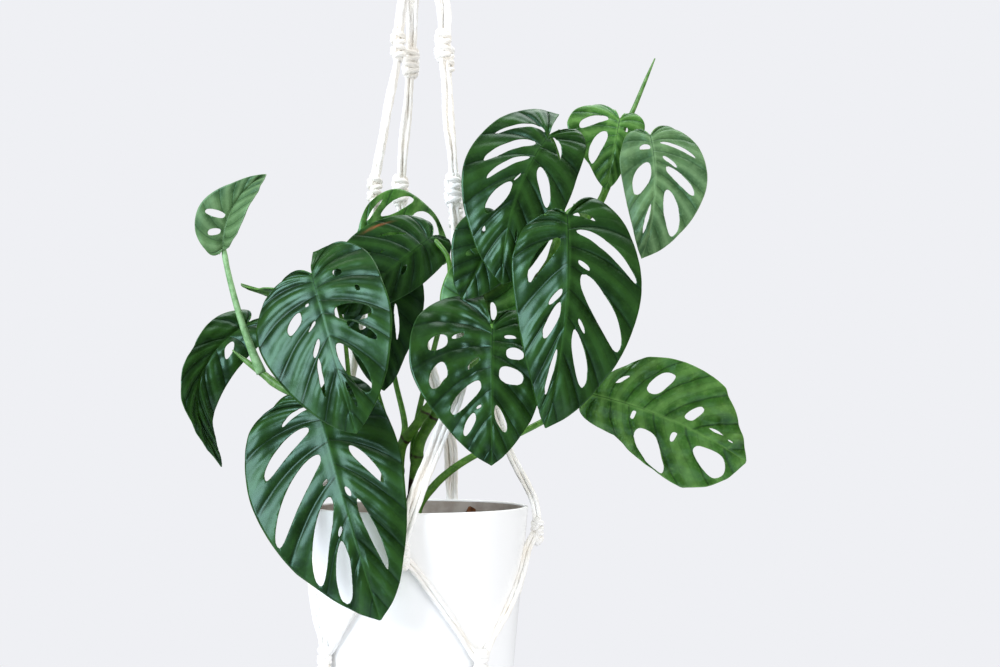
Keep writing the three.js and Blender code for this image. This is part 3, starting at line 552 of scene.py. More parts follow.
def place(leaf, q, s, lift=0.0):
    base, tip = Vector(leaf["base"]), Vector(leaf["tip"])
    along = tip - base
    length = along.length
    along.normalize()
    up = Vector((0, -1, 0))
    up = (up - along * up.dot(along)).normalized()
    side = up.cross(along)
    u, v = flat(leaf, q, s)
    roll = leaf.get("roll", 0)
    rib_up, rib_side = turned_axes(up, side, roll)
    up, side = turned_axes(up, side, roll + leaf.get("twist", 0) * (u - 0.5))
    fold = math.radians(leaf["fold"][s >= 0])
    curl = math.radians(leaf["curl"][s >= 0]) or 1e-4
    reach = HALF_WIDE * length
    angle = fold + curl * v * length / reach
    across = reach / curl * (math.sin(angle) - math.sin(fold))
    rise = reach / curl * (math.cos(fold) - math.cos(angle))
    hump = 4 * u * (1 - u)
    tilt = angle * min(1, v * length / FOLD_OVER)
    return (base + along * u * length + rib_up * leaf.get("arch", 0) * hump
            + rib_side * leaf.get("bow", 0) * hump
            + side * (-1 if s < 0 else 1) * (across - lift * math.sin(tilt))
            + up * (rise + lift * math.cos(tilt)))


print("Leaf 4 is", round(leaf_length(LEAVES["leaf_04"])), "mm long")

# %% [markdown]
# ## The holes
#
# On the real leaf the holes open between the side veins while the leaf is still rolled up, so
# each one is a long oval that lies along its veins. Here every hole is cut into the flat grid:
# short straight knife cuts follow the oval, and the faces inside it are deleted. Cutting
# before bending gives clean, round edges at any bend.

# %% The holes
ROUND_ENDS, ROUND_SIDES = 0.85, 0.75     # under 1 makes an oval squarer
EGG = 0.16                               # how much wider its inner end is
ROOMY = 1.1                              # makes up for what the straight cuts leave standing
LONG_HOLE, MANY_CUTS, FEW_CUTS = 0.15, 28, 20


def near_faces(faces, corners, slack=1e-4):
    low_x, high_x = min(c.x for c in corners) - slack, max(c.x for c in corners) + slack
    low_y, high_y = min(c.y for c in corners) - slack, max(c.y for c in corners) + slack
    found = []
    for face in faces:
        xs = [v.co.x for v in face.verts]
        ys = [v.co.y for v in face.verts]
        if max(xs) > low_x and min(xs) < high_x and max(ys) > low_y and min(ys) < high_y:
            found.append(face)
    return found


def cut_hole(sheet, hole):
    side, q, half, start, end, slant = hole
    middle, long = (start + end) / 2, (end - start) / 2
    count = MANY_CUTS if long > LONG_HOLE else FEW_CUTS
    oval = []
    for k in range(count):
        c, s = math.cos(2 * math.pi * k / count), math.sin(2 * math.pi * k / count)
        out = math.copysign(abs(c) ** ROUND_ENDS, c) * long
        off = math.copysign(abs(s) ** ROUND_SIDES, s) * half * ROOMY * (1 - EGG * c)
        oval.append(Vector((side * (middle + out), q + off + slant * out, 0)))
    pool = set(near_faces(sheet.faces, oval))
    for a, b in zip(oval, oval[1:] + oval[:1]):
        parts = set()
        for face in near_faces(pool, (a, b)):
            parts.add(face)
            parts.update(face.edges)
            parts.update(face.verts)
        across = Vector((b.y - a.y, a.x - b.x, 0)).normalized()
        cut = bmesh.ops.bisect_plane(sheet, geom=list(parts), dist=1e-6, plane_co=a,
                                     plane_no=across)
        pool.update(part for part in cut["geom"] if isinstance(part, bmesh.types.BMFace))
    inside = []
    for face in pool:
        spot = face.calc_center_median()
        out = spot.x * side - middle
        if abs(out) < long:
            c = math.copysign((abs(out) / long) ** (1 / ROUND_ENDS), out)
            room = math.sqrt(1 - c * c) ** ROUND_SIDES * half * ROOMY * (1 - EGG * c)
            if abs(spot.y - q - slant * out) < room:
                inside.append(face)
    bmesh.ops.delete(sheet, geom=inside, context="FACES")


trial = bmesh.new()
bmesh.ops.create_grid(trial, x_segments=20, y_segments=20, size=1)
cut_hole(trial, (1, 0.5, 0.1, 0.2, 0.8, 0))
outer_edges = 4 * 20
print("A hole's edge has", sum(e.is_boundary for e in trial.edges) - outer_edges, "parts")
trial.free()

# %% [markdown]
# ## What a leaf looks like
#
# The upper side is a deep, warm green under a waxy skin, which takes on the cool light of the
# window wherever the leaf turns toward it. Each side vein lies in a crease, painted as a narrow
# dark line of shade, with two fainter lines of painted shade in the panel beside it, and a
# painted highlight makes the panel's crest a little lighter. The midrib is a soft paler line with
# painted shade down its groove, and the margin is paler too. Clouds vary the green, and painted
# light and shade follow the small wrinkles, most of all on the half-grown leaves. The underside
# is paler and matt, with pale veins, and young leaves are fresher in colour.
# A UV map carries the veins: its first number counts them. Attributes carry the distance from
# the midrib in millimetres, the nearness of an edge, and the scar of one old leaf.

# %% Leaf materials
CLOUD, WRINKLE, SKIN_GRAIN = 29.4, 8.33, 2.38      # mm; real skin grain is too fine to show
WRINKLE_DEEP, GRAIN_DEEP, CREASE_DEEP = 0.00035, 0.00004, 0.0002      # metres
SCAR_BROWN = tint("#8a4a2c")


def green_blade(name, deep, mid, light, vein_and_crease_shade, rough, coat, wrinkle_shading):
    finish, tree = new_finish(name)
    spot = put(tree, "TexCoord").outputs["Object"]
    count = put(tree, "SeparateXYZ", {0: put(tree, "UVMap", uv_map="veins")}).outputs["X"]
    off_rib = put(tree, "Attribute", attribute_name="off_rib").outputs["Fac"]
    rim = put(tree, "Attribute", attribute_name="rim").outputs["Fac"]
    scar = put(tree, "Attribute", attribute_name="scar").outputs["Fac"]
    cloud = put(tree, "TexNoise", {"Vector": spot, "Scale": per_metre(CLOUD), "Detail": 4.0,
                                   "Roughness": 0.55})
    wrinkle = put(tree, "TexNoise", {"Vector": spot, "Scale": per_metre(WRINKLE), "Detail": 3.0})
    grain = put(tree, "TexNoise", {"Vector": spot, "Scale": per_metre(SKIN_GRAIN), "Detail": 4.0,
                                   "Roughness": 0.6})
    to_vein = put(tree, "Math", {0: count, 1: 0.5}, operation="PINGPONG")
    thirds = put(tree, "Math", {0: count, 1: 3.0}, operation="MULTIPLY")
    to_third = put(tree, "Math", {0: thirds, 1: 0.5}, operation="PINGPONG")
    green = painted(tree, deep, [
        (cloud, 0.36, 0.64, 0.0, 1.0, mid),
        # Painted highlight: the crest of each panel between two veins is lighter.
        (to_vein, 0.12, 0.5, 0.0, 0.35, light),
        (grain, 0.5, 0.75, 0.0, 0.2, light),
        # The two wrinkle coats are painted light on the wrinkles' bumps and painted shade in their
        # dents; the last number of each leaf call sets how strong they are.
        (wrinkle, 0.5, 0.75, 0.0, wrinkle_shading, light),
        (wrinkle, 0.25, 0.46, wrinkle_shading, 0.0, vein_and_crease_shade),
        # Painted shade in the creases at the thirds and at the veins; on an underside this colour
        # paints the veins pale.
        (to_third, 0.0, 0.12, 0.2, 0.0, vein_and_crease_shade),
        (to_vein, 0.01, 0.07, 0.5, 0.0, vein_and_crease_shade),
        (off_rib, 0.8, 2.4, 0.3, 0.0, light),
        # Painted shade down the midrib's groove; on an underside a pale line.
        (off_rib, 0.25, 0.6, 0.7, 0.0, vein_and_crease_shade),
        (rim, 0.3, 1.0, 0.0, 0.45, light),
    ])
    base = put(tree, "Mix", {"Factor": scar, "A": green, "B": SCAR_BROWN}, data_type="RGBA")
    dents = put(tree, "MapRange", fade(to_vein, 0.0, 0.08, -CREASE_DEEP, 0.0), **SMOOTH)
    rough_skin = put(tree, "Math", {0: grain, 1: GRAIN_DEEP, 2: dents}, operation="MULTIPLY_ADD")
    height = put(tree, "Math", {0: wrinkle, 1: WRINKLE_DEEP, 2: rough_skin},
                 operation="MULTIPLY_ADD")
    bump = put(tree, "Bump", {"Height": height, "Strength": 1.0, "Distance": 1.0})
    shine = put(tree, "MapRange", fade(cloud, 0.3, 0.7, rough, rough + 0.12))
    finish_with(tree, Base_Color=base, Roughness=shine, Normal=bump, Specular_IOR_Level=0.7,
                Specular_Tint=tint("#a2dcc6"), Coat_Weight=coat, Coat_Roughness=0.25)
    return finish


# The grown leaf gives the plant its deep green; the half-grown one is fresher and the young one
# lighter still, so that the newest growth stands out at the ends of the vine.
# In each call the fourth colour is painted shade in the creases of an upper side, and the pale vein
# colour of an underside.
leaf_top = green_blade("Vine_leaf_waxy_upper_side", tint("#0e2402"), tint("#183506"),
                       tint("#355f1d"), tint("#081802"), 0.33, 0.15, 0.15)
leaf_top_half = green_blade("Vine_leaf_half_grown_upper_side", tint("#24490d"), tint("#3a6a1e"),
                            tint("#76a552"), tint("#152d06"), 0.33, 0.15, 0.35)
leaf_top_young = green_blade("Vine_leaf_young_upper_side", tint("#33502a"), tint("#4c6b3d"),
                             tint("#83a573"), tint("#2b4624"), 0.42, 0.1, 0.2)
leaf_back = green_blade("Vine_leaf_matt_underside", tint("#35591c"), tint("#476e29"),
                        tint("#63883f"), tint("#76994f"), 0.55, 0.0, 0.1)
leaf_back_young = green_blade("Vine_leaf_young_underside", tint("#4c7326"), tint("#628c38"),
                              tint("#80a754"), tint("#94b767"), 0.5, 0.0, 0.1)
print("Leaf materials ready")

# %% [markdown]
# Stalks and stems are fleshy and faintly glossy, with pale specks. A stalk is fresh green. The
# vine itself is green with dark brown joints, and it turns brown and corky only near the soil.

# %% Stalk and stem materials
STREAK, SPECK = 6.25, 1.92               # mm
STREAK_DEEP = 0.0006                     # metres


def fleshy(name, low, high, speck, rough, joint=None):
    finish, tree = new_finish(name)
    spot = put(tree, "TexCoord").outputs["Object"]
    streaks = put(tree, "TexNoise", {"Vector": spot, "Scale": per_metre(STREAK), "Detail": 4.0,
                                     "Roughness": 0.6})
    specks = put(tree, "TexVoronoi", {"Vector": spot, "Scale": per_metre(SPECK)}, feature="F1")
    coats = [(streaks, 0.35, 0.65, 0.0, 1.0, high), (specks, 0.12, 0.25, 0.5, 0.0, speck)]
    if joint:
        ring = put(tree, "Attribute", attribute_name="joint").outputs["Fac"]
        patchy = put(tree, "Math", {0: streaks, 1: 1.2, 2: -0.6}, operation="MULTIPLY_ADD")
        worn = put(tree, "Math", {0: ring, 1: patchy}, operation="ADD")
        coats.append((worn, 0.3, 0.6, 0.0, 1.0, joint))
    height = put(tree, "Math", {0: streaks, 1: STREAK_DEEP}, operation="MULTIPLY")
    bump = put(tree, "Bump", {"Height": height, "Strength": 0.8, "Distance": 1.0})
    finish_with(tree, Base_Color=painted(tree, low, coats), Roughness=rough, Normal=bump,
                Specular_IOR_Level=0.4)
    return finish


# Fresh stalks are the lightest green of the grown plant, and the brown joints are what makes
# the vine look old and woody beside them.
stalk_green = fleshy("Leaf_stalk_fresh_green", tint("#47762a"), tint("#63943a"),
                     tint("#86ae58"), 0.4)
stalk_pale = fleshy("Leaf_stalk_pale_green", tint("#6b9660"), tint("#8db581"),
                    tint("#a5c697"), 0.45)
stem_old = fleshy("Vine_stem_green_with_brown_joints", tint("#426e1f"), tint("#5b8c30"),
                  tint("#7aa44e"), 0.45, tint("#2c1a0c"))
stem_green = fleshy("Vine_stem_young_green", tint("#49752f"), tint("#68914c"),
                    tint("#84a868"), 0.42)
print("Stalk and stem materials ready")

# %% [markdown]
# ## Growing the leaves
#
# The blade between two veins swells upward a little, like a cushion, the midrib lies in a
# groove and the margin waves. Slow folds and small bumps make each leaf a little different. All
# of it is a lift of the flat grid, in millimetres, and the leaf's pose bends the lifted grid.

# %% Growing the leaves
GROWN = 150                              # mm; a shorter leaf has lower folds and waves
ROW_STEP, COLUMN_STEP = 1.4, 1.7         # mm between the rows and columns of the sheet
PANEL, THIRD = 0.013, 0.005              # heights of the cushions, in leaf lengths
RIDGE, RIDGE_WIDE = 0.014, 0.035         # how the blade rises along its midrib
GROOVE_DEEP, GROOVE_WIDE = 0.6, 1.2      # mm, the groove over the midrib
ROLL, WAVE, CRINKLE = 1.9, 1.1, 0.5      # mm, heights of slow folds, edge waves, small bumps
CRUMPLED = {"leaf_10": 9.0, "leaf_02": 4.0, "leaf_05": 4.0, "leaf_09": 2.5}      # times CRINKLE
SMOOTH_TIP = 0.84                        # from here on the tip is smooth
SCARRED, SCAR_Q, SCAR_S = "leaf_12", 0.36, -0.86         # one old leaf has a brown streak
SCAR_TALL, SCAR_LONG = 0.03, 0.045
WIDE_PANEL = 0.13                        # a wider panel has more than one vein


def vein_count(leaf, side):
    stops = [0] + sorted(h[1] for h in leaf["holes"] if h[0] == side and h[4] - h[3] > 0.25) + [1]
    marks = [-0.5]
    for a, b in zip(stops, stops[1:]):
        marks.append(marks[-1] + max(1, round((b - a) / WIDE_PANEL)))
    return stops, marks


def steps(x, low, high):
    t = min(max((x - low) / (high - low), 0), 1)
    return t * t * (3 - 2 * t)


def slow_fold(u, s, length, seed):
    return ROLL * length / GROWN * noise.noise(Vector((2.4 * u, 1.7 * s, seed * 3.7)))


def midline(q, length, seed):
    u = q ** VEIN_STARTS
    ridge = RIDGE * length * min(1, 6 * u * (1 - u))
    return (ridge + slow_fold(u, 0, length, seed)) * (1 - steps(q, SMOOTH_TIP, 1))


def swelling(f, a, length):
    cushion = PANEL * abs(math.sin(math.pi * f)) ** 0.6 * steps(a, 0.02, 0.25)
    cushion += THIRD * abs(math.sin(3 * math.pi * f)) * steps(a, 0.1, 0.35)
    return cushion * length * (1 - 0.7 * steps(a, 0.75, 1))


def lift_of(name, leaf, seed, f, q, s):
    length = leaf_length(leaf)
    grown, a = length / GROWN, abs(s)
    u, v = flat(leaf, q, s)
    ridge = RIDGE * length * math.exp(-v / RIDGE_WIDE) * min(1, 6 * u * (1 - u))
    groove = GROOVE_DEEP * math.exp(-(v * length / GROOVE_WIDE) ** 2)
    bumps = CRUMPLED.get(name, 1) * CRINKLE * grown * steps(a, 0.02, 0.2)
    bumps *= noise.noise(Vector((13 * u, 13 * v * (1 if s > 0 else -1), seed * 5.1)))
    wave = math.sin(2 * math.pi * (f * 0.5 + seed * 0.37)) * a ** 3 * min(1, v * 5)
    lift = swelling(f, a, length) + ridge + slow_fold(u, s, length, seed) + bumps
    return (lift + WAVE * grown * wave) * (1 - steps(q, SMOOTH_TIP, 1)) - groove


def cut_sheet(leaf):
    length = leaf_length(leaf)
    widest = max(max(leaf["left"][1:4]), max(leaf["right"][1:4])) * HALF_WIDE * length
    rows, columns = round(1.3 * length / ROW_STEP), 2 * round(widest / COLUMN_STEP)
    sheet = bmesh.new()
    bmesh.ops.create_grid(sheet, x_segments=columns, y_segments=rows, size=1)
    for vert in sheet.verts:
        vert.co.y = ((vert.co.y + 1) / 2) ** 1.35        # closer rows at the leaf's base
        if abs(vert.co.x) < 1e-6:
            vert.co.x = 0
    for hole in leaf["holes"]:
        cut_hole(sheet, hole)
    bmesh.ops.remove_doubles(sheet, verts=sheet.verts, dist=2e-5)
    bmesh.ops.reverse_faces(sheet, faces=sheet.faces)        # the upper side faces outward
    return sheet


def grow_blade(name, leaf, seed):
    sheet = cut_sheet(leaf)
    veins = {side: vein_count(leaf, side) for side in (-1, 1)}
    uv = sheet.loops.layers.uv.new("veins")
    rim = sheet.verts.layers.float.new("rim")
    off_rib = sheet.verts.layers.float.new("off_rib")
    scar = sheet.verts.layers.float.new("scar")
    for face in sheet.faces:
        side = 1 if face.calc_center_median().x > 0 else -1
        for corner in face.loops:
            s, q = corner.vert.co.x, corner.vert.co.y
            corner[uv].uv = (linear(q, *veins[side]), 0.5 + 0.5 * s)
    for vert in sheet.verts:
        s, q = vert.co.x, vert.co.y
        u, v = flat(leaf, q, s)
        vert[rim] = 1.0 if vert.is_boundary else 0.0
        vert[off_rib] = v * leaf_length(leaf) + 1.2 * u
        if name == SCARRED:
            slanted = q - SCAR_Q - 0.9 * (abs(s) - 0.85)
            vert[scar] = math.exp(-(slanted / SCAR_TALL) ** 2 - ((s - SCAR_S) / SCAR_LONG) ** 2)
        f = linear(q, *veins[1 if s > 0 else -1])
        vert.co = at(*place(leaf, q, s, lift_of(name, leaf, seed, f, q, s)))
    return sheet


left_veins = round(vein_count(LEAVES["leaf_04"], -1)[1][-1] + 0.5)
print("Panels on the left half of leaf 4:", left_veins)

# %% [markdown]
# The sheet gets its thickness from a Solidify modifier, which also puts the paler finish on the
# underside. The midrib is a tapering rod that stands out below the blade, as it does on the real
# leaf, and the stalk is another rod with a sheath at its foot and a swollen joint at its end.

# %% Every leaf with its stalk
BLADE_THICK, RIB_PARTS = 0.8, 40
YOUNG = {"leaf_01", "leaf_09"}
HALF_GROWN = {"leaf_08", "leaf_10", "leaf_11", "leaf_15", "leaf_16"}


def grow_stalk(leaf):
    wide, thin = leaf["radii"]
    under_blade = [tuple(place(leaf, 0, 0, -2.2)), tuple(place(leaf, 0.12, 0, -2.6))]
    points = leaf["stalk"] + under_blade
    count = len(points) - 1
    line = smooth_line([(*p, wide + (thin - wide) * k / count) for k, p in enumerate(points)], 2.5)
    whole = line[-1][2]

    def swollen(turn, wide, run):
        sheath = 0.22 * math.exp(-(run / (0.18 * whole + 4)) ** 2)
        joint = 0.16 * math.exp(-((whole - run - 9) / 5) ** 2)
        return turn, wide * (1 + sheath + joint - 0.08 * math.cos(turn))

    return rolled(line, 12, swollen)


def grow_rib(leaf, seed):
    line = []
    for k in range(RIB_PARTS + 1):
        q = k / RIB_PARTS
        wide = leaf["radii"][1] * (1 - q) * 0.8 + 0.25
        under = midline(q, leaf_length(leaf), seed) - 1.0 - wide
        line.append((place(leaf, q, 0, under), wide, k * 3.0))
    return rolled(line, 8)


total = 0
for number, (name, leaf) in enumerate(LEAVES.items()):
    young = name in YOUNG
    top = leaf_top_young if young else leaf_top_half if name in HALF_GROWN else leaf_top
    finishes = [top, leaf_back_young if young else leaf_back]
    blade = make_piece(name + "_blade", grow_blade(name, leaf, number + 1), finishes, [name])
    thick = blade.modifiers.new("thickness", "SOLIDIFY")
    thick.thickness = BLADE_THICK * MM
    thick.offset = 0
    thick.material_offset = 1
    thick.material_offset_rim = 0
    rods = empty_shape()
    gather(rods, grow_stalk(leaf))
    gather(rods, grow_rib(leaf, number + 1))
    stalk = stalk_pale if name == "leaf_01" else stalk_green
    make_piece(name + "_stalk", rods, [stalk], [name])
    total += len(blade.data.polygons)
print("Faces in all the leaf sheets:", total)

# %% [markdown]
# ## The vine's stems
#
# Three stems climb out of the pot. Each is a row of points with a radius. A vine's stem is not
# an even tube: it swells at every joint, where a leaf and its roots start, and a thin scar
# runs round it there. The newest leaf is still rolled into a pointed green spear.

# %% The vine's stems
STEMS = dict(
    stem_main=[(-4.5, -5, -46, 4.6), (-4.5, -5, -1, 4.6), (0.5, -10, 46.5, 4.3),
        (11.5, -15, 68, 4.2), (28.5, -25, 93.5, 4), (63, -40, 135, 3.7), (100, -45, 184.5, 3.5),
        (107, -45, 202.5, 3.4), (138.5, -20, 232, 3), (152.5, 0, 269.5, 2.6), (160.5, 5, 295.5, 2)],
    stem_second=[(-16, -2, -46, 4.2), (-16, -2, 0.5, 4.2), (-13.5, -8, 44, 4),
        (-0.5, -22, 63.5, 3.8), (8, -28, 76, 3.6), (22, -36, 93.5, 3.2), (34.5, -40, 108.5, 2.6)],
    stem_left=[(-25, -14, -46, 4), (-25, -14, 0.5, 4), (-25.5, -26, 44, 3.8), (-39, -38, 70.5, 3.6),
        (-54, -42, 80.5, 3.4), (-85.5, -42, 85, 3.2), (-103.5, -36, 92, 3.2),
        (-118.5, -30, 102.5, 2.8)],
)
BUD = [(-110, -33, 96.5, 2.6), (-118.5, -29, 102.5, 2.9), (-131, -26, 111.5, 2),
    (-142, -24, 120, 0.5)]
SPEAR = [(160.5, 5, 295.5, 1.9), (167, 4, 308, 1.9), (177.5, 1, 333, 1.4),
    (184.5, -2, 349.5, 0.5)]
print("Stems measured:", len(STEMS))

# %% [markdown]
# The bark follows each line. The joints come at even distances along it. An attribute tells the
# material where the bark is brown: at the joints and near the soil.

# %% The bark of the stems
JOINT_LONG, JOINT_BROWN = 3.2, 2.4       # mm to each side of a joint: the swelling, the brown
DENT_BESIDE, DENT_LONG, DENT_DEEP = 3.8, 0.8, 0.05   # mm past the joint, mm long, share
BROWN_UP_TO, BROWN_FADES = 60, 8         # mm along a stem: brown all over near the soil
UNEVEN = 0.03                            # share by which the bark is out of round


def grow_stem(points, spacing, swell):
    def off_joint(run):
        return (run % spacing) - spacing / 2

    def jointed(turn, wide, run):
        knob = swell * math.exp(-(off_joint(run) / JOINT_LONG) ** 2)
        dent = DENT_DEEP * math.exp(-((off_joint(run) - DENT_BESIDE) / DENT_LONG) ** 2)
        return turn, wide * (1 + knob - dent + UNEVEN * math.sin(3 * turn + run / 9))

    line = smooth_line(points, 1.6)
    rod = rolled(line, 16, jointed)
    joint = rod.verts.layers.float.new("joint")
    for vert in rod.verts:
        run = min(line, key=lambda entry: (at(*entry[0]) - vert.co).length)[2]
        near_soil = math.exp(-(max(run - BROWN_UP_TO, 0) / BROWN_FADES) ** 2)
        vert[joint] = max(near_soil, 0.55 * math.exp(-(off_joint(run) / JOINT_BROWN) ** 2))
    return rod


main_bark = grow_stem(STEMS["stem_main"], 34, 0.16)
make_piece("stem_main_bark", main_bark, [stem_old], ["stem_main"])
second_bark = grow_stem(STEMS["stem_second"], 29, 0.16)
make_piece("stem_second_bark", second_bark, [stem_old], ["stem_second"])
left_bark = empty_shape()
gather(left_bark, grow_stem(STEMS["stem_left"], 27, 0.14))
gather(left_bark, rolled(smooth_line(BUD, 1.5), 12))
make_piece("stem_left_bark", left_bark, [stem_green], ["stem_left"])
spear = rolled(smooth_line(SPEAR, 1.5), 14)
make_piece("new_leaf_spear", spear, [stem_green], ["new_leaf"])
print("Stems grown:", len(STEMS))

# %% [markdown]
# ## The pot
#
# The pot is plain glazed stoneware: a slightly flared wall with a soft rounded rim. It is made
# like a real one, by spinning its profile round the axis. Outside, its glaze is a satin white,
# so the light from the window fades softly round it. Inside, below the rim, its wall is painted a
# darker grey-brown as shade.
#
# Glaze, the painted shade inside the pot, soil, bark and wood are all made of two tones that run
# into each other in patches, with a finer grain that stands up a little, so one function serves
# them all.

# %% Two-toned finishes
def two_toned(name, tones, patch, mixed, grain, raised, strength, stretch=None, **surface):
    finish, tree = new_finish(name)
    spot = put(tree, "TexCoord").outputs["Object"]
    if stretch:
        spot = put(tree, "Mapping", {"Vector": spot, "Scale": stretch})
    patches = put(tree, "TexNoise", {"Vector": spot, **patch})
    base = painted(tree, tint(tones[0]), [(patches, *mixed, 0.0, 1.0, tint(tones[1]))])
    grains = put(tree, "TexNoise", {"Vector": spot, **grain})
    height = put(tree, "Math", {0: grains, 1: raised * MM}, operation="MULTIPLY")
    bump = put(tree, "Bump", {"Height": height, "Distance": 1.0, "Strength": strength})
    finish_with(tree, Base_Color=base, Normal=bump, **surface)
    return finish


# Nearly pure white, so that the pot is the brightest thing and the leaves stand out against it.
glaze = two_toned("Glazed_white_stoneware", ("#fafaf9", "#fdfdfc"),
                  {"Scale": per_metre(111), "Detail": 2.0}, (0.35, 0.65),
                  {"Scale": per_metre(4.17), "Detail": 2.0}, 0.06, 0.5,
                  Roughness=0.45, Coat_Weight=0.1, Coat_Roughness=0.3)
# Inside, the wall is painted darker as shade, so the rim reads as a thin white edge.
inner_shade = two_toned("Pot_inside_painted_shade", ("#a2978d", "#bab1a9"),
                 {"Scale": per_metre(16.7), "Detail": 4.0}, (0.35, 0.65),
                 {"Scale": per_metre(1.11), "Detail": 2.0}, 0.2, 0.6,
                 Roughness=0.85, Specular_IOR_Level=0.3)
print("Pot materials ready")

# %% [markdown]
# The profile is drawn with sharp corners, each with the length over which it is rounded, and it
# runs from the middle of the foot, up the outside, over the rim and down to the inside floor.

# %% The pot
RIM_RADIUS, WALL_RADIUS, FOOT_RADIUS = 85, 81.6, 68.5
POT_TALL, POT_FLOOR = 165, 4
AXIS_RADIUS = 0.01                       # not quite 0, so that the spin closes on small circles
# Inside the pot, below the next depth, the wall gets the painted shade.
INNER_SHADE_FROM = -1.6                         # the glaze goes over the rim and ends this far down
CORNER_PARTS = 5


def spun(profile):
    shape = empty_shape()
    verts = [shape.verts.new((r * MM, 0, (z - RIM_DROP) * MM)) for r, z in profile]
    edges = [shape.edges.new(pair) for pair in zip(verts, verts[1:])]
    bmesh.ops.spin(shape, geom=verts + edges, cent=(0, 0, 0), axis=(0, 0, 1), angle=2 * math.pi,
                   steps=96, use_merge=True)
    bmesh.ops.remove_doubles(shape, verts=shape.verts, dist=1e-7)
    bmesh.ops.recalc_face_normals(shape, faces=shape.faces)
    return shape


def rounded(corners):
    profile = [corners[0][:2]]
    for before, (r, z, soft), after in zip(corners, corners[1:], corners[2:]):
        here = Vector((r, z))
        a = here + (Vector(before[:2]) - here).normalized() * soft
        b = here + (Vector(after[:2]) - here).normalized() * soft
        for k in range(CORNER_PARTS + 1):
            t = k / CORNER_PARTS
            p = a * (1 - t) ** 2 + here * 2 * t * (1 - t) + b * t * t
            profile.append((p.x, p.y))
    return profile + [corners[-1][:2]]


wall = rounded([(AXIS_RADIUS, -POT_TALL, 0), (FOOT_RADIUS, -POT_TALL, 2.2), (69.9, -162, 1.2),
                (RIM_RADIUS, -0.2, 1.6), (WALL_RADIUS, -0.2, 1.6),
                (66.4, POT_FLOOR - POT_TALL, 3), (AXIS_RADIUS, POT_FLOOR - POT_TALL, 0)])
pot = spun(wall)
# Inward faces below that depth get the painted shade, all others the white glaze.
for face in pot.faces:
    middle = face.calc_center_median()
    inward = face.normal.x * middle.x + face.normal.y * middle.y < 0
    face.material_index = 1 if inward and middle.z < at(0, 0, INNER_SHADE_FROM).z else 0
make_piece("pot_glazed", pot, [glaze, inner_shade], ["pot"])
print("Profile points on the pot:", len(wall))

# %% [markdown]
# ## The soil
#
# The pot is filled with dark potting soil with bits of bark on top. The surface is a disc
# of small faces, lifted unevenly, and the bark is a few hundred small cubes, stretched, turned
# and half sunk at random places. One longer chip leans on the pot's far wall. A fixed seed gives
# the same scatter every time.

# %% The soil
SOIL_RADIUS, SOIL_TOP, SOIL_FLOOR = 79.6, -14, -159
SOIL_TAPER = 0.845                       # its radius at the floor, against that at the top
CLOD, CLOD_HIGH = 9, 1.4                 # mm wide and high
CRUMB, CRUMB_HIGH = 3, 0.9

# Dark and dull, so that the stems seem to rise out of shadow.
crumbs = {"Scale": per_metre(3.03), "Detail": 6.0, "Roughness": 0.7}
earth = two_toned("Potting_soil_dark_and_crumbly", ("#1d1610", "#4a3a2a"), crumbs, (0.35, 0.7),
                  crumbs, 2.2, 1.0, Roughness=0.95, Specular_IOR_Level=0.15)

ground = empty_shape()
bmesh.ops.create_circle(ground, cap_ends=True, cap_tris=True, segments=72,
                        radius=SOIL_RADIUS * MM)
bmesh.ops.subdivide_edges(ground, edges=ground.edges, cuts=15, use_grid_fill=True)
for vert in ground.verts:
    x, y = vert.co.x / MM, vert.co.y / MM
    far = math.hypot(x, y) / SOIL_RADIUS
    lump = CLOD_HIGH * noise.noise(Vector((x / CLOD, y / CLOD, 3)))
    lump += CRUMB_HIGH * noise.noise(Vector((x / CRUMB, y / CRUMB, 8)))
    dome = -1.2 + 2.0 * (1 - far ** 2)
    vert.co = at(x, y, SOIL_TOP + dome + lump * (1 - 0.5 * far))
rim_edges = [edge for edge in ground.edges if edge.is_boundary]
skirt = bmesh.ops.extrude_edge_only(ground, edges=rim_edges)
for vert in skirt["geom"]:
    if isinstance(vert, bmesh.types.BMVert):
        x, y = vert.co.x / MM * SOIL_TAPER, vert.co.y / MM * SOIL_TAPER
        vert.co = at(x, y, SOIL_FLOOR)
bmesh.ops.holes_fill(ground, edges=[edge for edge in ground.edges if edge.is_boundary])
bmesh.ops.recalc_face_normals(ground, faces=ground.faces)
print("Faces on the soil:", len(ground.faces))

# %% [markdown]
# Each chip of bark is a cube with its edges bevelled off. Its size, its turn and its tilt are
# drawn at random, and every so often there is a big one.

# %% The bark
CHIPS, BIG_EVERY, LEANING_CHIP = 360, 23, 0
CHIPS_WITHIN = 76                        # mm from the pot's axis

# Warm brown chips of several tones break up the dark soil.
bark = two_toned("Bark_chips_and_coir", ("#3a2418", "#96603a"),
                 {"Scale": per_metre(8.33), "Detail": 1.0}, (0.4, 0.62),
                 {"Scale": per_metre(2), "Detail": 4.0}, 0.8, 1.0,
                 Roughness=0.9, Specular_IOR_Level=0.2)

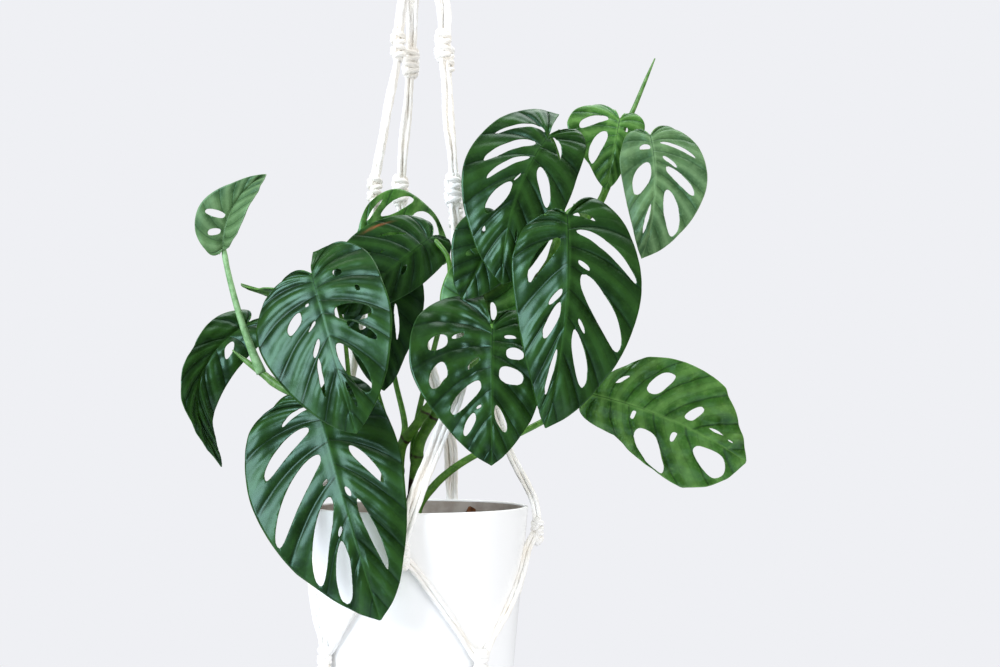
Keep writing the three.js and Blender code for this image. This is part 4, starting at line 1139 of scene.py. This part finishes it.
dice = random.Random(7)
for k in range(CHIPS):
    far, turn = CHIPS_WITHIN * math.sqrt(dice.random()), dice.uniform(0, 2 * math.pi)
    size = dice.uniform(1.0, 3.4) * (1.6 if k % BIG_EVERY == 0 else 1)
    stretch = Matrix.Diagonal((size * dice.uniform(1, 2.6), size * dice.uniform(0.7, 1.2),
                               size * dice.uniform(0.25, 0.6), 1))
    tilt = Matrix.Rotation(dice.uniform(0, 6.28), 4, "Z")
    tilt = tilt @ Matrix.Rotation(dice.uniform(-0.5, 0.5), 4, "X")
    height = SOIL_TOP + 0.4 + 1.6 * (1 - (far / SOIL_RADIUS) ** 2)
    spot = at(far * math.cos(turn), far * math.sin(turn), height)
    if k == LEANING_CHIP:
        spot, tilt = at(39, 63, -9.5), Matrix.Rotation(0.5, 4, "Y")
        stretch = Matrix.Diagonal((7, 2.5, 8, 1))
    chip = empty_shape()
    bmesh.ops.create_cube(chip, size=1)
    bmesh.ops.bevel(chip, geom=chip.edges, offset=0.16, offset_type="OFFSET", segments=1,
                    profile=0.5, affect="EDGES", material=-1)
    placed = Matrix.Translation(spot) @ tilt @ stretch @ Matrix.Scale(MM, 4)
    bmesh.ops.transform(chip, matrix=placed, verts=chip.verts)
    gather(ground, chip, 1)
make_piece("soil_with_bark", ground, [earth, bark], ["soil"])
print("Bark chips:", CHIPS)

# %% [markdown]
# ## The rope hanger
#
# The hanger is knotted from soft white cotton rope. Each of its four arms is four ropes, which
# run in two pairs and meet in a square knot every hundred millimetres or so. Below the rim the
# ropes part and join again with their neighbours, which makes the net that holds the pot. Each
# rope is a rod with a three-lobed section that turns as it goes, because the rope is laid
# from three strands.

# %% The rope hanger's measures
ARMS = [
    [(-13.5, 6, 397.5), (-17.5, 8, 362, 1), (-36, 12, 247.5, 1), (-53, 17, 113.5),
     (-71.5, 20, 26.5), (-86.5, 23, 5), (-90, 24, -22, 1)],
    [(-7.5, 22, 401.5), (-8.5, 26, 352, 1), (-18, 46, 251.5, 1), (-2.5, 62, 139), (21, 78, 48),
     (22.5, 87, 5), (23, 90, -22, 1)],
    [(16.5, -22, 391), (19, -27, 354.5, 1), (27.5, -46, 240.5, 1), (35, -62, 134), (32, -69, 89.5),
     (21, -77, 61.5), (-1, -89.5, 4), (-8, -92, -30, 1)],
    [(20, 0, 396), (21.5, 0, 348.5, 1), (28.5, 0, 226.5, 1), (47.5, 0, 121), (69, 0, 45.5),
     (89, 0, 5), (92, 0, -20, 1)],
]
LOW_KNOTS = [-53, 37, 120, -147]         # degrees round the pot, between the arms
LOW_Z = -112
GATHER_TOP, GATHER_UNDER = 458, -215
PAIR, THIN = 2.6, 1.75                   # THIN is the radius of one rope
LAY, LAPS = 13.0, 78.0                   # mm from strand to strand, and grooves in a metre
HALF_KNOT = 8                            # mm from a knot's middle to where its ropes come out
ARM_KNOT, NET_KNOT = 0.88, 0.72          # size of a square knot, against one of 28 mm
RING_MIDDLE, RING_WIRE = 21, 3
print("Arms:", len(ARMS))

# %% [markdown]
# The rope's material knows where it is along the rope and round it, from the map that every
# rod carries, lays a shallow slanting groove between each two of the rope's three strands, and
# paints a little shade into it.

# %% The rope's material
# Off-white cotton, a touch warmer than the pot and quite dull, so that each knot reads by its
# soft shadows. The slanting grooves between the rope's three strands are faint, and they are
# painted a little darker as shade.
cotton, tree = new_finish("Cotton_rope_off_white")
spot = put(tree, "TexCoord").outputs["Object"]
along = put(tree, "SeparateXYZ", {0: put(tree, "UVMap", uv_map="Along")})
laps = put(tree, "Math", {0: along.outputs["Y"], 1: LAPS}, operation="MULTIPLY")
lay = put(tree, "Math", {0: along.outputs["X"], 1: 3.0, 2: laps}, operation="MULTIPLY_ADD")
groove = put(tree, "Math", {0: lay, 1: 0.5}, operation="PINGPONG")
fuzz = put(tree, "TexNoise", {"Vector": spot, "Scale": per_metre(1.11), "Detail": 4.0,
                              "Roughness": 0.7})
cloud = put(tree, "TexNoise", {"Vector": spot, "Scale": per_metre(33.3), "Detail": 2.0})
base = painted(tree, tint("#f6f1e8"), [(cloud, 0.35, 0.65, 0.0, 1.0, tint("#fdfcf9")),
                                       # Painted shade in the grooves between the strands.
                                       (groove, 0.0, 0.14, 0.2, 0.0, tint("#cdc3b2"))])
swell = put(tree, "MapRange", fade(groove, 0.0, 0.3, 0.0, 0.3 * MM), **SMOOTH)
height = put(tree, "Math", {0: fuzz, 1: 0.3 * MM, 2: swell}, operation="MULTIPLY_ADD")
bump = put(tree, "Bump", {"Height": height, "Distance": 1.0, "Strength": 0.7})
finish_with(tree, Base_Color=base, Roughness=0.92, Normal=bump, Specular_IOR_Level=0.15,
            Sheen_Weight=0.35, Sheen_Roughness=0.5)
print("Cotton ready")

# %% [markdown]
# A rope is never quite straight: two ropes of a pair slowly wander round each other. `rope_pair`
# moves two rods to the two sides of the pair's line and lets that direction turn a little
# on the way. In a square knot two thicker ropes cross over and under a straight core at four
# levels, changing sides each time, and its measures are those of a knot 28 mm tall.

# %% Ropes and pairs of ropes
STRAND_HIGH = 0.08                       # how far a strand stands out, against the radius
WANDER, SWAY = 23, 9                     # mm over which a pair turns slowly, and quickly


def rope(line, radius=THIN, sides=9):
    def laid(turn, wide, run):
        strand = math.cos(3 * (turn - run * 2 * math.pi / (3 * LAY)))
        return turn, wide * radius * (1 + STRAND_HIGH * strand)

    return rolled(line, sides, laid)


def rope_pair(target, points, phase, apart=THIN, swing=0.35):
    frames = frames_along(smooth_line([(*p[:3], 1.0) for p in points], 1.7))
    for which in (-1, 1):
        moved = []
        for spot, across, other, wide, run in frames:
            a = phase + swing * math.sin(run / WANDER + phase * 3)
            a += 0.35 * math.sin(run / SWAY + phase)
            off = across * math.cos(a) + other * math.sin(a)
            moved.append((spot + off * which * apart, wide, run))
        gather(target, rope(moved))


def square_knot(target, place_at, degrees, scale):
    x, y, z = place_at
    face = Matrix.Rotation(math.radians(degrees), 3, "Z")

    def here(points):
        made = []
        for across, out, up in points:
            turned = face @ Vector((out * scale, across * scale, up * scale))
            made.append((x + turned.x, y + turned.y, z + turned.z, 1.0))
        return made

    for side in (-1, 1):
        way = [(side * 2.4, 0.4, 14), (side * 3.8, 0.8 * side, 11.6)]
        left, front = side, -4.0 * side
        for level in (8.4, 2.9, -2.9, -8.4):
            way += [(left * 5.6, front * 0.2, level + 1.6),
                    (left * 3.2, front * 0.95, level + 0.8),
                    (-left * 3.2, front * 0.95, level - 0.8),
                    (-left * 5.6, front * 0.2, level - 1.6)]
            left = -left
        way += [(left * 3.8, 0.8 * side, -11.6), (left * 2.4, 0.4, -14)]
        gather(target, rope(smooth_line(here(way), 1.5), THIN * 1.3))
    for side in (-1, 1):
        core = [(side * 1.7, 0, 14.5), (side * 1.8, 0, 0), (side * 1.7, 0, -14.5)]
        gather(target, rope(smooth_line(here(core), 2.0), THIN * 1.6))


trial = empty_shape()
square_knot(trial, (0, 0, 0), 0, ARM_KNOT)
print("Faces in one square knot:", len(trial.faces))
trial.free()

# %% [markdown]
# The arms first: from the gathering knot under the ring, through their square knots, down
# to the knot at the pot's rim.

# %% The four arms
def around(point):
    return math.degrees(math.atan2(point[1], point[0]))


arms = empty_shape()
knots = empty_shape()
for number, arm in enumerate(ARMS):
    run = [(0, 0, GATHER_TOP, 0.2)]
    for point in arm:
        x, y, z = point[:3]
        if len(point) == 3:
            run.append((x, y, z, 1))
            continue
        run.append((x, y, z + HALF_KNOT, 0.4))
        for side in (-1, 1):
            path = []
            for px, py, pz, spread in run:
                shift = side * spread * PAIR / (math.hypot(px, py) or 1)
                path.append((px - shift * py, py + shift * px, pz))
            rope_pair(arms, path, number * 1.3 + side * 0.7)
        square_knot(knots, (x, y, z), around(point), NET_KNOT if z < 0 else ARM_KNOT)
        run = [(x, y, z - HALF_KNOT, 0.4)]
make_piece("hanger_arms", arms, [cotton], ["hanger_ropes"])
print("Arms laid")

# %% [markdown]
# Below the rim every arm parts to the left and to the right, and a second row of knots joins
# neighbours. From there the ropes run in under the pot to a wrapped knot with a tassel.

# %% The net round the pot
WALL_LEAN = 15.5                         # mm the wall comes in between the rim and the foot
KNOT_OFF, NET_OFF = 8.1, 3.0             # mm from the wall to a rope's middle
UNDER_POT = [(72.8, -168), (66, -175), (34, -197), (3, GATHER_UNDER)]


def round_at(radius, degrees, z):
    turn = math.radians(degrees)
    return radius * math.cos(turn), radius * math.sin(turn), z


def on_pot(degrees, z, off):
    return round_at(RIM_RADIUS + WALL_LEAN * z / POT_TALL + off, degrees, z)


net = empty_shape()
for number, arm in enumerate(ARMS):
    end = arm[-1]
    start = around(end)

    def turn_to(low):
        return (low - start + 540) % 360 - 180

    for low in sorted(LOW_KNOTS, key=lambda d: abs(turn_to(d)))[:2]:
        path = []
        for t in (0, 0.14, 0.3, 0.5, 0.7, 0.86, 1):
            off = KNOT_OFF if t in (0, 1) else NET_OFF
            path.append(on_pot(start + turn_to(low) * t, end[2] + (LOW_Z - end[2]) * t, off))
        rope_pair(net, path, 0.4 + number, swing=0.25)
for low in LOW_KNOTS:
    square_knot(knots, on_pot(low, LOW_Z, 7), low, NET_KNOT)
    path = [on_pot(low, LOW_Z - 6, 7), on_pot(low, -132, 4.1), on_pot(low, -160, 4.7)]
    path += [round_at(radius, low, z) for radius, z in UNDER_POT]
    for side in (-1, 1):
        aside_x, aside_y, _ = round_at(2.0 * side, low + 90, 0)
        moved = [(x + aside_x, y + aside_y, z) for x, y, z in path]
        rope_pair(net, moved, low + side, apart=THIN * 0.9, swing=0.4)
make_piece("hanger_net", net, [cotton], ["hanger_ropes"])
make_piece("hanger_knots", knots, [cotton], ["hanger_ropes"])
print("Net laid, knots tied:", len(LOW_KNOTS) + sum(len(p) == 4 for arm in ARMS for p in arm))

# %% [markdown]
# The two gathering knots are a rope wound tightly round the bundle. The top one hangs
# from the ring by a loop of two ropes, and the lower one lets the ends fall as a tassel.

# %% Gathering knots, loop and tassel
LAP_PARTS, PART_TURN = 20, 0.314         # parts in one lap of the coil, and radians in each
ends = empty_shape()
for middle, tall, wide in ((GATHER_TOP, 28, 7.4), (GATHER_UNDER, 24, 8.6)):
    top = middle + tall / 2
    coil = []
    for k in range(round(tall / (2 * THIN) * LAP_PARTS) + 1):
        a = k / LAP_PARTS * 2 * math.pi
        spot = Vector((wide * math.cos(a), wide * math.sin(a), top - k / LAP_PARTS * 2 * THIN))
        coil.append((spot, 1.0, k * wide * PART_TURN))
    gather(ends, rope(coil, THIN * 1.05))
    bundle = [(Vector((0, 0, top + 1 - k * (tall + 2) / 6)), wide - 0.6, k * 4.0) for k in range(7)]
    gather(ends, rolled(bundle, 20))

seat = RIM_DROP - 2 * (RING_MIDDLE - RING_WIRE)          # inside bottom of the ring
out = 3 + RING_WIRE + 0.7
loop = [(-3, GATHER_TOP + 10), (-out, seat - 6), (-out * 0.75, seat + 1.5), (0, seat + 3.7),
        (out * 0.75, seat + 1.5), (out, seat - 6), (3, GATHER_TOP + 10)]
for side in (-1, 1):
    gather(ends, rope(smooth_line([(side * 1.6, y, z, 1.0) for y, z in loop], 1.5)))

STRANDS, TASSEL_LONG = 44, 82            # mm from the knot's middle to the strands' ends
dice = random.Random(11)
for k in range(STRANDS):
    a, far = dice.uniform(0, 2 * math.pi), math.sqrt(dice.random())
    start = GATHER_UNDER - 8
    end = GATHER_UNDER - TASSEL_LONG + dice.uniform(0, 5)
    path = []
    for t in (0, 0.25, 0.5, 0.75, 1):
        r = far * (6.2 + 6.4 * t ** 0.7) + 0.5 * math.sin(9 * t + k)
        b = a + 0.25 * math.sin(4 * t + k * 1.7)
        path.append((r * math.cos(b), r * math.sin(b), start + (end - start) * t, 1.0))
    gather(ends, rope(smooth_line(path, 2.5), THIN * 0.85, 7))
make_piece("hanger_gathers", ends, [cotton], ["hanger_ropes"])
print("Tassel strands:", STRANDS)

# %% [markdown]
# ## The ring
#
# The whole thing hangs from a turned ring of oiled beech. A circle spun round the ring's middle
# gives the shape, and the grain follows the wood straight through, as in a ring cut from
# a board.

# %% The ring
# A honey-coloured wood, the one warm thing above all the green and white.
grain = {"Scale": per_metre(1.43), "Detail": 4.0}
wood = two_toned("Oiled_beech", ("#b98a58", "#d9b284"), grain, (0.35, 0.65), grain, 0.2, 0.5,
                 stretch=(1.0, 1.0, 0.12), Roughness=0.45)

ring = empty_shape()
centre = at(0, 0, RIM_DROP - RING_MIDDLE + RING_WIRE)
bmesh.ops.create_circle(ring, segments=24, radius=RING_WIRE * MM,
                        matrix=Matrix.Translation(centre + Vector((RING_MIDDLE * MM, 0, 0))))
bmesh.ops.spin(ring, geom=ring.verts[:] + ring.edges[:], cent=centre, axis=(0, 1, 0),
               angle=2 * math.pi, steps=96, use_merge=True)
bmesh.ops.remove_doubles(ring, verts=ring.verts, dist=1e-7)
bmesh.ops.recalc_face_normals(ring, faces=ring.faces)
make_piece("ring_turned", ring, [wood], ["hanger_ring"])
print("Ring spun")

# %% [markdown]
# ## Last: the size
#
# The last cell prints the box of the CAD model, whose size the finished pieces keep.

# %% Size and finish
print("CAD box:", cad_box)
